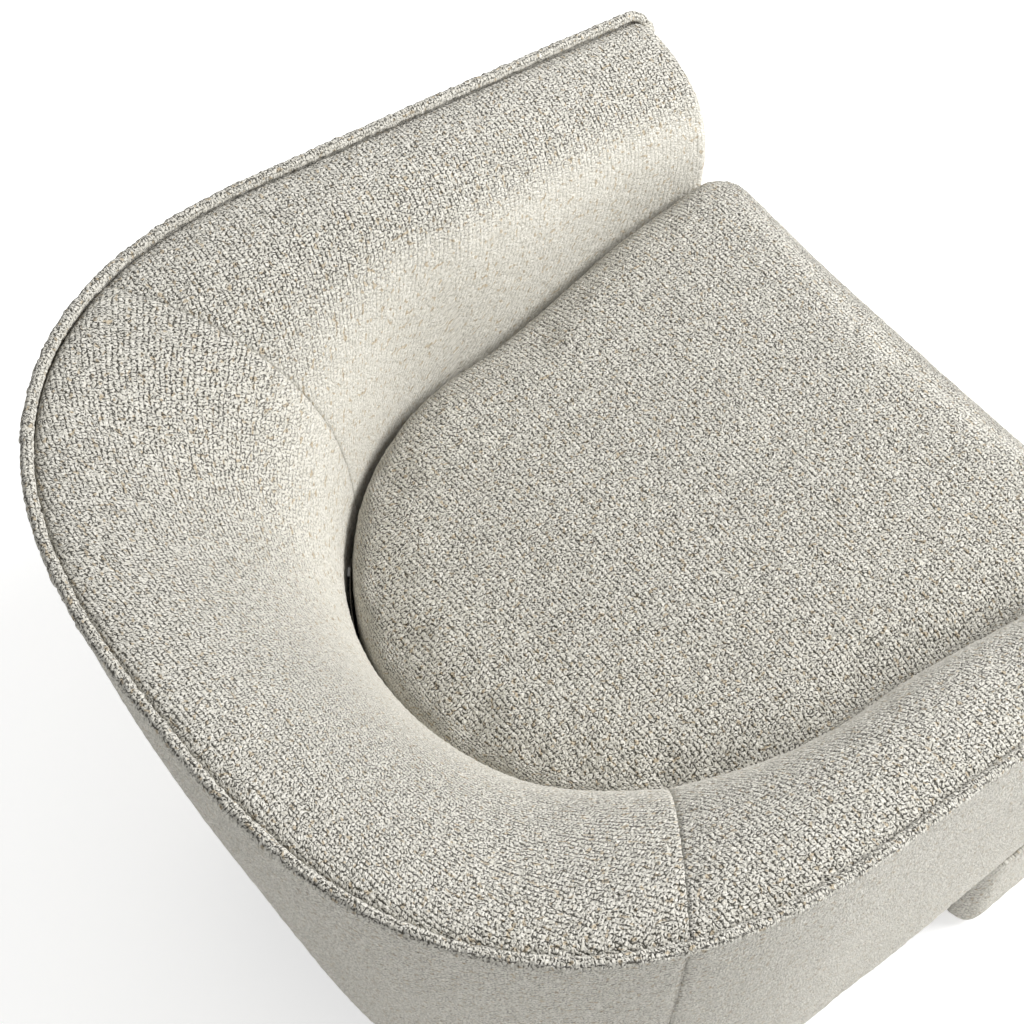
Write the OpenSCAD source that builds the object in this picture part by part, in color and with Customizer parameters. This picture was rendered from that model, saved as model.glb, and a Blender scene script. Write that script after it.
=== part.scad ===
// Barrel armchair: a curved upholstered shell on four upholstered block legs,
// with a loose seat cushion. Front of the chair faces -Y, the floor is z = 0.

/* [Overall size] */
// Width over the outer covers where the arms end
overall_w = 772; // [730:2:820]
// Depth from the back of the rim to the front of the cushion
overall_d = 808; // [780:2:840]
// Height of the rim seam at the middle of the back
back_h = 679; // [640:1:720]
// Height of the cushion's edge, where it meets the arms
seat_h = 430; // [410:1:450]
// Height of the legs
leg_h = 152; // [120:1:180]

/* [Rim curve] */
// Depth of the rounded part of the back
rim_depth = 380; // [340:5:400]
// Squareness of the rim in plan, 2 is an ellipse
rim_power = 2.62; // [2.2:0.02:3]
// Sideways splay of each arm over its straight length
arm_splay = 8; // [0:1:14]
// Steepest fall of the rim towards the front
rim_slope = 0.235; // [0.15:0.005:0.27]
// How gently the fall of the rim begins
rim_ease = 220; // [150:5:300]

/* [Seat curve] */
// Half width of the seat where its rounded back begins
seat_half_w = 255; // [245:1:262]
// Extra half width of the seat at the front
seat_flare = 20; // [0:1:24]
// Thickness of the back at seat level
back_t = 202; // [190:1:225]
// Depth of the rounded back of the seat
seat_round = 263; // [240:1:280]

/* [Padding] */
// Roundness of the back pad's roll, 2 is a quarter ellipse
back_roll = 1.75; // [1.6:0.05:2.4]
// Roundness of an arm pad's roll
arm_roll = 2.87; // [2.2:0.05:3.6]
// Thickness of the pad against the sitter
pad_t = 45; // [35:1:50]
// Radius of the welt sewn along the rim
welt_r = 5; // [3:0.5:6]
// Thickness of the outer fabric and its board
cover_t = 5; // [3:0.5:6]
// How far the back leans in, from rim to bottom edge
back_taper = 62; // [40:1:70]
// How far a side leans in, from rim to bottom edge
side_taper = 22; // [10:1:26]

/* [Cushion] */
// Thickness of the cushion at its edge
cushion_t = 125; // [110:1:130]
// Crown of the cushion above its edge
cushion_crown = 9; // [4:1:14]
// Gap around the cushion
cushion_gap = 2; // [1.8:0.1:3]

/* [Hidden] */
$fn = 48;
eps = 0.01;
back_y = overall_d / 2 - 3;
cushion_front = -overall_d / 2;
arm_front = cushion_front + 20;
rim_a = overall_w / 2 - arm_splay;
rim_c = back_y - rim_depth;
seat_c = back_y - back_t - seat_round;
arm_len = rim_c - arm_front;
seat_len = seat_c - arm_front;
seat_flare_len = 224;
front_u = 150;
seam_u = 64.7;
deck_z = seat_h - 132;
crease_z = seat_h - 12;
board_t = 18;
base_z = leg_h;
rail_t = 24;
rail_top = deck_z - 8;
spring_r = 1.75;
rim_drop = 92;
rim_board_in = 78;
nose_side = 9;
side_reach = 14;
nose_top = 11;
top_reach = 18;
skin_t = 3;
welt_gap = 1;
foam_gap = 0.8;
welt_end_u = 147;

// Fabric, foam, wood and metal colours
fabric = [0.80, 0.78, 0.73];
foam = [0.93, 0.87, 0.68];
beech = [0.78, 0.62, 0.42];
plywood = [0.82, 0.69, 0.50];
hardboard = [0.45, 0.33, 0.22];
steel = [0.62, 0.63, 0.65];
black = [0.10, 0.10, 0.10];

function power(v, m) = v <= eps / 100 ? 0 : pow(v, 2 / m);
function step(a, b, v) = let (t = min(1, max(0, (v - a) / (b - a)))) t * t * (3 - 2 * t);
function run(a, b, n) = [for (i = [0 : n]) a + (b - a) * i / n];
// Share of the straight arm that lies behind station u, 0 at its start and 1 at the front
function along(u) = max(0, (u - 90) / (front_u - 90));

// The rim seam in plan: stations 0 to 90 turn round the back, 90 to 150 run down the arm
function rim_at(u) = u <= 90
    ? [rim_a * power(sin(u), rim_power), rim_c + rim_depth * power(cos(u), rim_power)]
    : [rim_a + arm_splay * along(u), rim_c - arm_len * along(u)];
// Where the pad meets the cushion, in plan
function turn(u) = u - 16.8 * sin(2 * u);
function seat_side(y) = seat_half_w + seat_flare * step(0, seat_flare_len, seat_c - y);
function seat_at(u) = u <= 90
    ? [seat_half_w * sin(turn(u)), seat_c + seat_round * cos(turn(u))]
    : let (y = seat_c - seat_len * along(u)) [seat_side(y), y];
function rim_z(y) = let (d = back_y - y)
    back_h - rim_slope * (sqrt(d * d + rim_ease * rim_ease) - rim_ease);

// A station: [rim point, unit direction to the seat, distance to the seat, rim height]
function station(u) = let (
        a = abs(u),
        side = u < 0 ? -1 : 1,
        p = rim_at(a),
        q = seat_at(a),
        w = norm(q - p),
        d = (q - p) / w)
    [[side * p.x, p.y], [side * d.x, d.y], w, rim_z(p.y)];
// A point s millimetres in from the rim of a station, at height z
function place(st, s, z) = [st[0].x + st[1].x * s, st[0].y + st[1].y * s, z];

// How much longer a step along a station is than the same step square to the rim
function slant(u) = let (
        a = abs(u),
        t = rim_at(a + 0.5) - rim_at(a - 0.5),
        d = seat_at(a) - rim_at(a))
    norm(t) * norm(d) / abs(t.x * d.y - t.y * d.x);
// Where the padding starts beside the welt
function pad_start(u) = 2 + (welt_r + welt_gap) * slant(u) + nose_side * nose(u, side_reach);

// Rounding of the arm's front end: 0 behind it, 1 at the very front
function nose(u, reach) = let (left = (1 - along(abs(u))) * arm_len, t = max(0, 1 - left / reach))
    1 - sqrt(max(0, 1 - t * t));

function taper(u) = back_taper + (side_taper - back_taper) * step(30, 105, abs(u));
function wall_in(u, z, top) = taper(u) * pow(max(0, (top - z) / (top - leg_h)), 1.35);

// Solid made by joining one closed outline per station
// A bent outline has a front line of f points and a back line returning beside it. Its end is filled
// with a strip of triangles between the two lines; f = 0 fills a plain outline as one face.
function strip_faces(n, f) = [for (k = [1 : n - 2]) let (
        i = round(k * (f - 1) / (n - 2)),
        before = round((k - 1) * (f - 1) / (n - 2)),
        j = k - i)
    i > before ? [before, i, n - 1 - j] : [i, n - 1 - j, n - j]];
function end_faces(n, f) = f == 0 ? [[for (j = [0 : n - 1]) j]] : strip_faces(n, f);
module loft(rings, f = 0) {
    n = len(rings[0]);
    m = len(rings);
    upper = [for (i = [0 : m - 2], j = [0 : n - 1])
        [i * n + j, i * n + (j + 1) % n, (i + 1) * n + (j + 1) % n]];
    lower = [for (i = [0 : m - 2], j = [0 : n - 1])
        [i * n + j, (i + 1) * n + (j + 1) % n, (i + 1) * n + j]];
    first = [for (face = end_faces(n, f)) [for (k = [len(face) - 1 : -1 : 0]) face[k]]];
    last = [for (face = end_faces(n, f)) [for (j = face) (m - 1) * n + j]];
    polyhedron([for (r = rings, p = r) p], concat(upper, lower, first, last), convexity = 8);
}

// Padding: superellipse roll outside, parallel roll inside, straight wall below
function roll_of(u) = back_roll + (arm_roll - back_roll) * step(40, 95, abs(u));
function tilt_of(u) = 14 + 15 * (1 - step(40, 95, abs(u)));
function roll_point(st, phi, s0, w, top, m, tilt) = let (a = power(sin(phi), m), c = power(cos(phi), m))
    place(st, s0 + (w - s0) * a, crease_z + (top - crease_z) * c - tilt * a * c);
// Outer face of the padding, from the rim down to the deck, sunk by the given depth
function pad_face(u, sunk) = let (
        st = station(u),
        end_s = nose_side * nose(u, side_reach),
        end_z = nose_top * nose(u, top_reach),
        s0 = pad_start(u),
        w = st[2] - end_s - sunk,
        top = st[3] - end_z - sunk)
    concat(
        [for (phi = [0 : 9 : 90]) roll_point(st, phi, s0, w, top, roll_of(u), tilt_of(u))],
        [place(st, w, deck_z + 2)]);
// Back of the foam, from the deck up to the rim
function foam_back(u) = let (
        st = station(u),
        end_s = nose_side * nose(u, side_reach),
        end_z = nose_top * nose(u, top_reach),
        s0 = pad_start(u),
        w = st[2] - pad_t - 0.4 * end_s,
        top = st[3] - 38 - 0.7 * end_z)
    concat(
        [place(st, w, deck_z + 2)],
        [for (phi = [90 : -15 : 0]) roll_point(st, phi, s0, w, top, roll_of(u), tilt_of(u))]);
face_points = len(pad_face(0, 0));
function flip(list) = [for (i = [len(list) - 1 : -1 : 0]) list[i]];
function foam_outline(u) = concat(pad_face(u, skin_t + foam_gap), foam_back(u));
function skin_outline(u) = concat(pad_face(u, 0), flip(pad_face(u, skin_t)));
arm_us = concat(run(seam_u, 90, 6), run(96, 138, 7), run(140, front_u, 14));
function arm_stations(side) = side > 0 ? arm_us : [for (u = flip(arm_us)) -u];
back_stations = run(-seam_u, seam_u, 34);
module arm_foam(side) {
    color(foam) loft([for (u = arm_stations(side)) foam_outline(u)], f = face_points);
}
module back_foam() {
    color(foam) loft([for (u = back_stations) foam_outline(u)], f = face_points);
}
module inner_arm_cover(side) {
    color(fabric) loft([for (u = arm_stations(side)) skin_outline(u)], f = face_points);
}
module inner_back_cover() {
    color(fabric) loft([for (u = back_stations) skin_outline(u)], f = face_points);
}

// Outer covers: thin curved walls from the rim down to the shell's bottom edge
function cover_outline(u) = let (
        st = station(u),
        end_s = nose_side * nose(u, side_reach),
        top = st[3] - nose_top * nose(u, top_reach) - welt_r - welt_gap,
        zs = run(top, leg_h, 7))
    concat(
        [for (z = zs) place(st, wall_in(u, z, top) + end_s, z)],
        [for (i = [7 : -1 : 0]) place(st, wall_in(u, zs[i], top) + end_s + cover_t, zs[i])]);
module outer_back_cover() {
    color(fabric) loft([for (u = back_stations) cover_outline(u)], f = 8);
}
module outer_side_cover(side) {
    color(fabric) loft([for (u = arm_stations(side)) cover_outline(u)], f = 8);
}

// Welt: a round cord in a fabric casing, sewn into the rim seam
function welt_center(u) = let (st = station(u))
    place(st, 2 + nose_side * nose(u, side_reach), st[3] - nose_top * nose(u, top_reach));
module welt() {
    us = concat(run(-welt_end_u, -90, 16), run(-85, 85, 34), run(90, welt_end_u, 16));
    pts = [for (u = us) welt_center(u)];
    last = len(pts) - 1;
    ring = 8;
    color(fabric) loft([for (i = [0 : last]) let (
            t = pts[min(last, i + 1)] - pts[max(0, i - 1)],
            along_dir = t / norm(t),
            across = cross([0, 0, 1], along_dir) / norm(cross([0, 0, 1], along_dir)),
            up = cross(along_dir, across))
        [for (k = [0 : ring - 1]) pts[i] + welt_r * (across * cos(k * 360 / ring) + up * sin(k * 360 / ring))]]);
}

// Front faces: a narrow panel on each arm and a border under the cushion
border_x = seat_half_w + seat_flare - 3;
module arm_front(side) {
    inset = 1;
    out_x = station(front_u)[0].x - nose_side - inset;
    top = station(front_u)[3] - nose_top - inset;
    edge_r = 7;
    zs = run(leg_h, top - edge_r, 6);
    color(fabric) mirror([side > 0 ? 0 : 1, 0, 0]) translate([0, arm_front, 0])
        rotate([90, 0, 0]) linear_extrude(cover_t)
            polygon(concat(
                [[border_x + 0.2, leg_h]],
                [for (z = zs) [out_x - wall_in(front_u, z, top), z]],
                [for (a = [30 : 30 : 90]) [out_x - edge_r + edge_r * cos(a), top - edge_r + edge_r * sin(a)]],
                [for (p = pad_face(front_u, inset)) [p.x, p.z]],
                [[border_x + 0.2, deck_z - 6]]));
}
module front_border() {
    color(fabric) translate([-border_x, arm_front - cover_t, leg_h])
        cube([2 * border_x, cover_t, cushion_base - 0.6 - leg_h]);
}

// Frame boards that follow the shell
module band(from, to, n, s1, s2, drop, thick) {
    loft([for (u = run(from, to, n)) let (st = station(u), z = st[3] - drop)
        [place(st, s1, z), place(st, s2, z), place(st, s2, z - thick), place(st, s1, z - thick)]]);
}
module rim_board_back() {
    color(plywood) band(-76, 76, 24, 22, rim_board_in, rim_drop, board_t);
}
module rim_board_arm(side) {
    color(plywood) band(side > 0 ? 77 : -146, side > 0 ? 146 : -77, 14, 22, 60, rim_drop, board_t);
}
module base_board(from, to, n) {
    difference() {
        loft([for (u = run(from, to, n)) let (
                st = station(u),
                s1 = taper(u) + cover_t + 2.5 + nose_side * nose(u, side_reach),
                s2 = st[2] - 4)
            [place(st, s1, base_z + board_t), place(st, s2, base_z + board_t),
                place(st, s2, base_z), place(st, s1, base_z)]]);
        each_bolt() translate([0, 0, base_z - 1]) cylinder(d = bolt_hole, h = board_t + 2);
    }
}
module base_board_back() {
    color(plywood) base_board(-76, 76, 24);
}
module base_board_side(side) {
    color(plywood) base_board(side > 0 ? 77 : -147, side > 0 ? 147 : -77, 16);
}
module base_board_front() {
    in_x = seat_half_w + seat_flare + 2;
    color(plywood) translate([-in_x, arm_front + 6, base_z]) cube([2 * in_x, 60, board_t]);
}
module post(u, half, deep, drop) {
    loft([for (v = [u - half, u + half]) let (
            st = station(v),
            z = st[3] - drop,
            s1 = taper(v) + cover_t + 3,
            s2 = s1 + deep)
        [place(st, s1, z), place(st, s2, z), place(st, s2, base_z + board_t), place(st, s1, base_z + board_t)]]);
}
module arm_posts(side) {
    color(beech) for (u = [92, 116, 142]) post(side * u, 2.2, 16, rim_drop + board_t + 0.8);
}
// Hardboard behind an arm's foam
module arm_panel(side) {
    us = side > 0 ? run(90, 146, 10) : run(-146, -90, 10);
    color(hardboard) loft([for (u = us) let (st = station(u), s = st[2] - pad_t - 1.2, z = crease_z - 2)
        [place(st, s - 3, z), place(st, s, z), place(st, s, deck_z + 2), place(st, s - 3, deck_z + 2)]]);
}
// Ribs cut to the profile of the back, one on each of five stations, clear of foam and webbing
rib_gap = 6;
module back_ribs() {
    color(plywood) for (u = [-60, -30, 0, 30, 60]) let (
            st = station(u),
            s0 = 2 + welt_r,
            w = st[2] - pad_t - rib_gap,
            top = st[3] - 38,
            low = base_z + board_t,
            under = st[3] - rim_drop - board_t - 2.5)
        multmatrix([[st[1].x, st[1].y, 0, st[0].x], [st[1].y, -st[1].x, 0, st[0].y], [0, 0, 1, 0]])
            rotate([90, 0, 0]) linear_extrude(board_t, center = true) polygon(concat(
                [[taper(u) + 14, low], [w, low]],
                [for (phi = [90 : -10 : 20]) let (
                        a = power(sin(phi), roll_of(u)),
                        c = power(cos(phi), roll_of(u)),
                        z = crease_z + (top - crease_z) * c - tilt_of(u) * a * c - rib_gap)
                    if (z < under) [s0 + (w - s0) * a, z]],
                [[rim_board_in, under], [24, under]],
                [for (k = [0.25, 0.5, 0.75]) let (z = under + (low - under) * k)
                    [wall_in(u, z, st[3]) + 14, z]]));
}
// Elastic straps stapled across the ribs behind the back foam
module back_webbing() {
    color(black) for (z = [306, 364]) loft([for (u = run(-66, 66, 22)) let (st = station(u), s = st[2] - pad_t - 2.6)
        [place(st, s, z + 50), place(st, s + 1.6, z + 50), place(st, s + 1.6, z), place(st, s, z)]]);
}

// Seat frame: boards on edge under the inner face of the padding, glued blocks at their joints
rail_out = 30;
rail_in = 6;
function seat_rail(us) = [for (u = us) let (st = station(u))
    [place(st, st[2] - rail_out, rail_top), place(st, st[2] - rail_in, rail_top),
        place(st, st[2] - rail_in, base_z + board_t), place(st, st[2] - rail_out, base_z + board_t)]];
front_rail_y = arm_front + 12;
side_end_u = 90 + (front_u - 90) * (seat_c - front_rail_y - rail_t - 2) / seat_len;
module front_rail() {
    half = seat_half_w + seat_flare + rail_out;
    color(beech) translate([-half, front_rail_y, base_z + board_t])
        cube([2 * half, rail_t, rail_top - base_z - board_t]);
}
module back_rail() {
    color(plywood) loft(seat_rail(run(-76, 76, 26)));
}
module side_rail(side) {
    color(beech) loft(seat_rail(side > 0 ? run(77, side_end_u, 12) : run(-side_end_u, -77, 12)));
}
module corner_blocks() {
    block = 60;
    color(beech) for (side = [-1, 1])
        translate([side * (seat_half_w + seat_flare + 5), front_rail_y + rail_t, base_z + board_t])
            linear_extrude(70)
                polygon([[0, 0], [-side * block, 0], [-side * 2, block]]);
}
module rail_splices() {
    color(beech) for (us = [[70, 83], [-83, -70]]) loft([for (u = run(us[0], us[1], 4)) let (st = station(u))
        [place(st, st[2] - rail_out - 16, 270), place(st, st[2] - rail_out - 0.3, 270),
            place(st, st[2] - rail_out - 0.3, 190), place(st, st[2] - rail_out - 16, 190)]]);
}
// Each spring runs from the front rail to where the back rail crosses its line
clip_front = front_rail_y + rail_t / 2;
function clip_back(x) = seat_c + seat_round * sqrt(1 - pow(x / seat_half_w, 2)) + rail_in + 9;
spring_z = rail_top + spring_r + 0.4;
// One flat zig-zag spring: runs across joined by half rings, with a straight tail at each end
spring_w = 34;
spring_pitch = 31;
function spring_line(length) = let (
        rows = round(length / spring_pitch) - 1,
        pitch = length / (rows + 1),
        r = pitch / 2,
        half = spring_w / 2 - r)
    concat(
        [[0, 0], [0, pitch * 0.45]],
        [for (i = [0 : rows - 2], a = [-90 : 30 : 90]) let (side = i % 2 == 0 ? 1 : -1)
            [side * (half + r * cos(a)), pitch * (i + 1.5) + r * sin(a)]],
        [[0, length - pitch * 0.45], [0, length]]);
function line_side(pts, i, off) = let (
        t = pts[min(len(pts) - 1, i + 1)] - pts[max(0, i - 1)], n = [t.y, -t.x] / norm(t)) pts[i] + n * off;
module zigzag(length) {
    pts = spring_line(length);
    last = len(pts) - 1;
    linear_extrude(2 * spring_r, center = true) polygon(concat(
        [for (i = [0 : last]) line_side(pts, i, spring_r)], [for (i = [last : -1 : 0]) line_side(pts, i, -spring_r)]));
}
spring_x = [-205, -123, -41, 41, 123, 205];
module seat_springs() {
    color(steel) for (x = spring_x)
        translate([x, clip_front, spring_z]) zigzag(clip_back(abs(x)) - clip_front);
}
module spring_clips() {
    color(steel) for (x = spring_x, y = [clip_front, clip_back(abs(x))])
        translate([x, y, rail_top]) difference() {
            translate([-9, -6, 0]) cube([18, 12, 8]);
            translate([-2.5, -7, -1]) cube([5, 14, 6.5]);
        }
}
module deck_cloth() {
    color(black) translate([0, 0, rail_top + 8.2]) linear_extrude(1.2) intersection() {
        polygon([for (p = cushion_ring(-22, 0)) [p.x, p.y]]);
        translate([-overall_w / 2, clip_front]) square([overall_w, overall_d]);
    }
}

// The plan outline of the cushion, inset evenly and rounded at its front corners
function cushion_half(inset) = let (
        g = cushion_gap + inset,
        r = 34,
        x = seat_half_w + seat_flare - g,
        y = cushion_front + inset)
    concat(
        [for (u = run(0, 90, 14)) let (p = seat_at(u), n = [sin(turn(u)), cos(turn(u))]) p - n * g],
        [for (t = run(0.1, 0.86, 7)) let (yy = seat_c + (y - seat_c) * t) [seat_side(yy) - g, yy]],
        [for (a = run(0, 90, 6)) [x - r + r * cos(a), y + r - r * sin(a)]]);
function cushion_ring(inset, z) = let (h = cushion_half(inset))
    concat([for (p = h) [p.x, p.y, z]], [for (i = [len(h) - 1 : -1 : 1]) [-h[i].x, h[i].y, z]]);
cushion_base = seat_h - cushion_t;
// Levels of the cushion: [inset, height]
function cushion_levels(t) = [
    [16 + t, cushion_base + t], [5 + t, cushion_base + 3 + t], [t, cushion_base + 14 + t],
    [t, seat_h - 22 - t], [4 + t, seat_h - 10 - t], [14 + t, seat_h - 2 - t],
    [40 + t, seat_h + 3 - t], [100 + t, seat_h + cushion_crown - t]];
function level_rings(levels) = [for (lv = levels) cushion_ring(lv[0], lv[1])];
module seat_cushion_core() {
    color(foam) loft(level_rings(flip(cushion_levels(skin_t + 0.2))));
}
// The cover is an upper and a lower shell that meet at the zip, halfway up the edge
cushion_mid = cushion_base + cushion_t / 2;
function above_mid(t) = [for (lv = cushion_levels(t)) if (lv[1] > cushion_mid) lv];
function below_mid(t) = [for (lv = cushion_levels(t)) if (lv[1] < cushion_mid) lv];
module cushion_upper_cover() {
    color(fabric) loft(level_rings(concat(
        flip(above_mid(0)), [[0, cushion_mid], [skin_t, cushion_mid]], above_mid(skin_t))));
}
module cushion_lower_cover() {
    color(fabric) loft(level_rings(concat(
        below_mid(skin_t), [[skin_t, cushion_mid], [0, cushion_mid]], flip(below_mid(0)))));
}

// Zip tape along the back edge of the cushion
module cushion_zip() {
    z = cushion_mid;
    color(black) loft([for (u = run(-58, 58, 28)) let (
            p = seat_at(abs(u)),
            n = [sin(turn(u)), cos(turn(abs(u)))],
            a = [u < 0 ? -p.x : p.x, p.y] - n * (cushion_gap - 0.1),
            b = a + n * 0.8)
        [[a.x, a.y, z + 6], [b.x, b.y, z + 6], [b.x, b.y, z - 6], [a.x, a.y, z - 6]]]);
}
module deck_pad() {
    color(foam) translate([0, 0, rail_top + 9.6]) linear_extrude(cushion_base - rail_top - 9.6 - 0.6)
        intersection() {
            polygon([for (p = cushion_ring(6, 0)) [p.x, p.y]]);
            translate([-overall_w / 2, arm_front + 1]) square([overall_w, overall_d]);
        }
}

// Legs: a wood block in a padded fabric sleeve, its outer face following the shell
function shell_foot(u, inset) = let (st = station(u)) place(st, taper(u) + inset, 0);
// A leg's plan: its outer face runs from station u1 to u2, its ends are square to that face
function leg_corners(leg, grow) = let (
        pts = [for (u = run(leg[0], leg[1], 8)) let (p = shell_foot(u, leg[2])) [p.x, p.y]],
        t = (pts[8] - pts[0]) / norm(pts[8] - pts[0]),
        n = [t.y, -t.x])
    concat(
        [for (i = [0 : 8]) pts[i] - n * grow + t * grow * (i - 4) / 4],
        [pts[8] + n * (leg[3] + grow) + t * grow, pts[0] + n * (leg[3] + grow) - t * grow]);
module leg_plan(leg, shrink) {
    offset(r = 18 - shrink, $fn = 32) offset(delta = -18) polygon(leg_corners(leg, 0));
}
front_leg = [120.5, 149.6, 0.5, 96];
rear_leg = [33, 61, 14, 86];
sleeve_t = 5;
bolt_hole = 8.4;
foot_z = 6;
module leg_block(side, leg) {
    difference() {
        translate([0, 0, foot_z + sleeve_t]) linear_extrude(leg_h - foot_z - sleeve_t)
            mirror([side > 0 ? 0 : 1, 0, 0]) leg_plan(leg, sleeve_t);
        for (p = bolt_points(leg)) translate([side * p.x, p.y, leg_h - 60]) cylinder(d = bolt_hole, h = 61);
    }
}
module leg_sleeve(side, leg) {
    mirror([side > 0 ? 0 : 1, 0, 0]) difference() {
        translate([0, 0, foot_z]) linear_extrude(leg_h - foot_z)
            leg_plan(leg, 0);
        translate([0, 0, foot_z + sleeve_t]) linear_extrude(leg_h)
            leg_plan(leg, sleeve_t);
    }
}
// Two bolts to a leg, a third of its length from each end
function bolt_points(leg) = [for (k = [0.3, 0.7]) let (p = shell_foot(leg[0] + (leg[1] - leg[0]) * k, leg[2] + 38))
    [p.x, p.y]];
module each_bolt() {
    for (leg = [front_leg, rear_leg], side = [-1, 1], p = bolt_points(leg)) translate([side * p.x, p.y, 0])
        children();
}
module leg_bolts() {
    color(steel) each_bolt() {
        translate([0, 0, leg_h - 50]) cylinder(d = 8, h = 50 + board_t + 2);
        translate([0, 0, leg_h + board_t + 2]) cylinder(d = 15, h = 5, $fn = 6);
    }
}
module leg_washers() {
    color(steel) each_bolt() translate([0, 0, leg_h + board_t]) difference() {
        cylinder(d = 24, h = 2);
        translate([0, 0, -1]) cylinder(d = bolt_hole, h = 4);
    }
}
module glides() {
    color(black) each_bolt() cylinder(d1 = 24, d2 = 28, h = foot_z);
}

// Underside cloth, tacked to the base boards and cut round the legs
module dust_cover() {
    color(black) translate([0, 0, leg_h - 1.5]) linear_extrude(1.3) difference() {
        polygon(concat(
            [for (u = run(0, 149, 30)) let (p = shell_foot(u, cover_t + 1)) [p.x, p.y]],
            [for (u = run(149, 4, 29)) let (p = shell_foot(u, cover_t + 1)) [-p.x, p.y]]));
        for (side = [0, 1], leg = [front_leg, rear_leg]) mirror([side, 0, 0])
            polygon(leg_corners(leg, 1));
    }
}

cushion_upper_cover();
cushion_lower_cover();
seat_cushion_core();
cushion_zip();
inner_back_cover();
inner_arm_cover(1);  // inner_arm_cover_left
inner_arm_cover(-1);  // inner_arm_cover_right
back_foam();
arm_foam(1);  // arm_foam_left
arm_foam(-1);  // arm_foam_right
outer_back_cover();
outer_side_cover(1);  // outer_side_cover_left
outer_side_cover(-1);  // outer_side_cover_right
welt();
arm_front(1);  // arm_front_left
arm_front(-1);  // arm_front_right
front_border();
deck_pad();
deck_cloth();
seat_springs();
spring_clips();
front_rail();
back_rail();
side_rail(1);  // side_rail_left
side_rail(-1);  // side_rail_right
corner_blocks();
rail_splices();
rim_board_back();
rim_board_arm(1);  // rim_board_arm_left
rim_board_arm(-1);  // rim_board_arm_right
base_board_back();
base_board_side(1);  // base_board_left
base_board_side(-1);  // base_board_right
base_board_front();
back_ribs();
back_webbing();
arm_posts(1);  // arm_posts_left
arm_posts(-1);  // arm_posts_right
arm_panel(1);  // arm_panel_left
arm_panel(-1);  // arm_panel_right
color(beech) leg_block(1, front_leg);  // leg_block_front_left
color(beech) leg_block(-1, front_leg);  // leg_block_front_right
color(beech) leg_block(1, rear_leg);  // leg_block_rear_left
color(beech) leg_block(-1, rear_leg);  // leg_block_rear_right
color(fabric) leg_sleeve(1, front_leg);  // leg_sleeve_front_left
color(fabric) leg_sleeve(-1, front_leg);  // leg_sleeve_front_right
color(fabric) leg_sleeve(1, rear_leg);  // leg_sleeve_rear_left
color(fabric) leg_sleeve(-1, rear_leg);  // leg_sleeve_rear_right
leg_bolts();
leg_washers();
glides();
dust_cover();
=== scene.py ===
# %% [markdown]
# # A barrel armchair in chunky boucle
# The chair is a curved shell: a back and two arms in one sweep, padded inside, covered outside, with a
# welt (a fabric-covered cord) sewn along the rim. A loose cushion lies in the hollow and four block legs,
# covered in the same cloth, carry it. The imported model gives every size. This notebook builds the cloth,
# the foam and the finishes round it.

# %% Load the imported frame
import math

import bmesh
import bpy
import numpy as np
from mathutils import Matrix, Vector, noise


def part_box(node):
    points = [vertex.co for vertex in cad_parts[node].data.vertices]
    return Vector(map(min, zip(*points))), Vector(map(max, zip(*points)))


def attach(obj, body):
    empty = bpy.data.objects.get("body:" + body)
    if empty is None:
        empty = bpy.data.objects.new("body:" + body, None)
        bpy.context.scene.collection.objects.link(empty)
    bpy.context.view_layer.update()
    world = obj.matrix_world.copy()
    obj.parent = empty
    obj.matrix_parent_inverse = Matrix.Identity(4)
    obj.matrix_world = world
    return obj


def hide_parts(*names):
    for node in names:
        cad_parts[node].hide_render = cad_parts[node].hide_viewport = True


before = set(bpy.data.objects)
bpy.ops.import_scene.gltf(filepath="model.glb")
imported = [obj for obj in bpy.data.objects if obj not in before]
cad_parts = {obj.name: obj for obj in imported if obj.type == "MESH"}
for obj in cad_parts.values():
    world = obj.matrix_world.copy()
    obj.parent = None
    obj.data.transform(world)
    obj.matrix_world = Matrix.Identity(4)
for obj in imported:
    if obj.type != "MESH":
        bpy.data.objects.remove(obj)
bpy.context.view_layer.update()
MM = 0.001

# %% [markdown]
# ## Camera and light
# The view looks down over the back-left corner of the chair, so the rim and its welt sweep round the
# picture. A long lens keeps the shape honest. The main light is a big soft panel in front, with a weak one
# overhead: boucle needs light that rakes a little, or its loops go flat.

# %% Camera
CAMERA_AT = Vector((-0.6278, 0.597, 1.983))
CAMERA_BACK = Vector((-0.3966, 0.3240, 0.8590))
LENS_MM = 73.83

camera_data = bpy.data.cameras.new("camera")
camera_data.lens = LENS_MM
camera_data.sensor_width = 36.0
camera = bpy.data.objects.new("camera", camera_data)
camera.location = CAMERA_AT
camera.rotation_euler = (-CAMERA_BACK).to_track_quat("-Z", "Y").to_euler()
bpy.context.scene.collection.objects.link(camera)
bpy.context.scene.camera = camera
bpy.context.scene.view_settings.view_transform = "Standard"
print("camera at", tuple(round(v, 3) for v in camera.location))


# %% Lights, sky and floor
def area_light(name, at, look, size, watts):
    data = bpy.data.lights.new(name, "AREA")
    data.shape = "DISK"
    data.size = size
    data.energy = watts
    lamp = bpy.data.objects.new(name, data)
    lamp.location = at
    lamp.rotation_euler = (Vector(look) - Vector(at)).to_track_quat("-Z", "Y").to_euler()
    bpy.context.scene.collection.objects.link(lamp)


area_light("front_panel", (-0.95, -2.1, 2.3), (0, 0, 0.45), 1.9, 124)
area_light("overhead_panel", (0.2, -0.2, 3.0), (0, 0, 0.4), 1.8, 9)

sky = bpy.data.worlds.new("sky")
sky.use_nodes = True
sky.node_tree.nodes["Background"].inputs["Color"].default_value = (1.0, 1.0, 1.0, 1)
sky.node_tree.nodes["Background"].inputs["Strength"].default_value = 0.40
bpy.context.scene.world = sky


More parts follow.
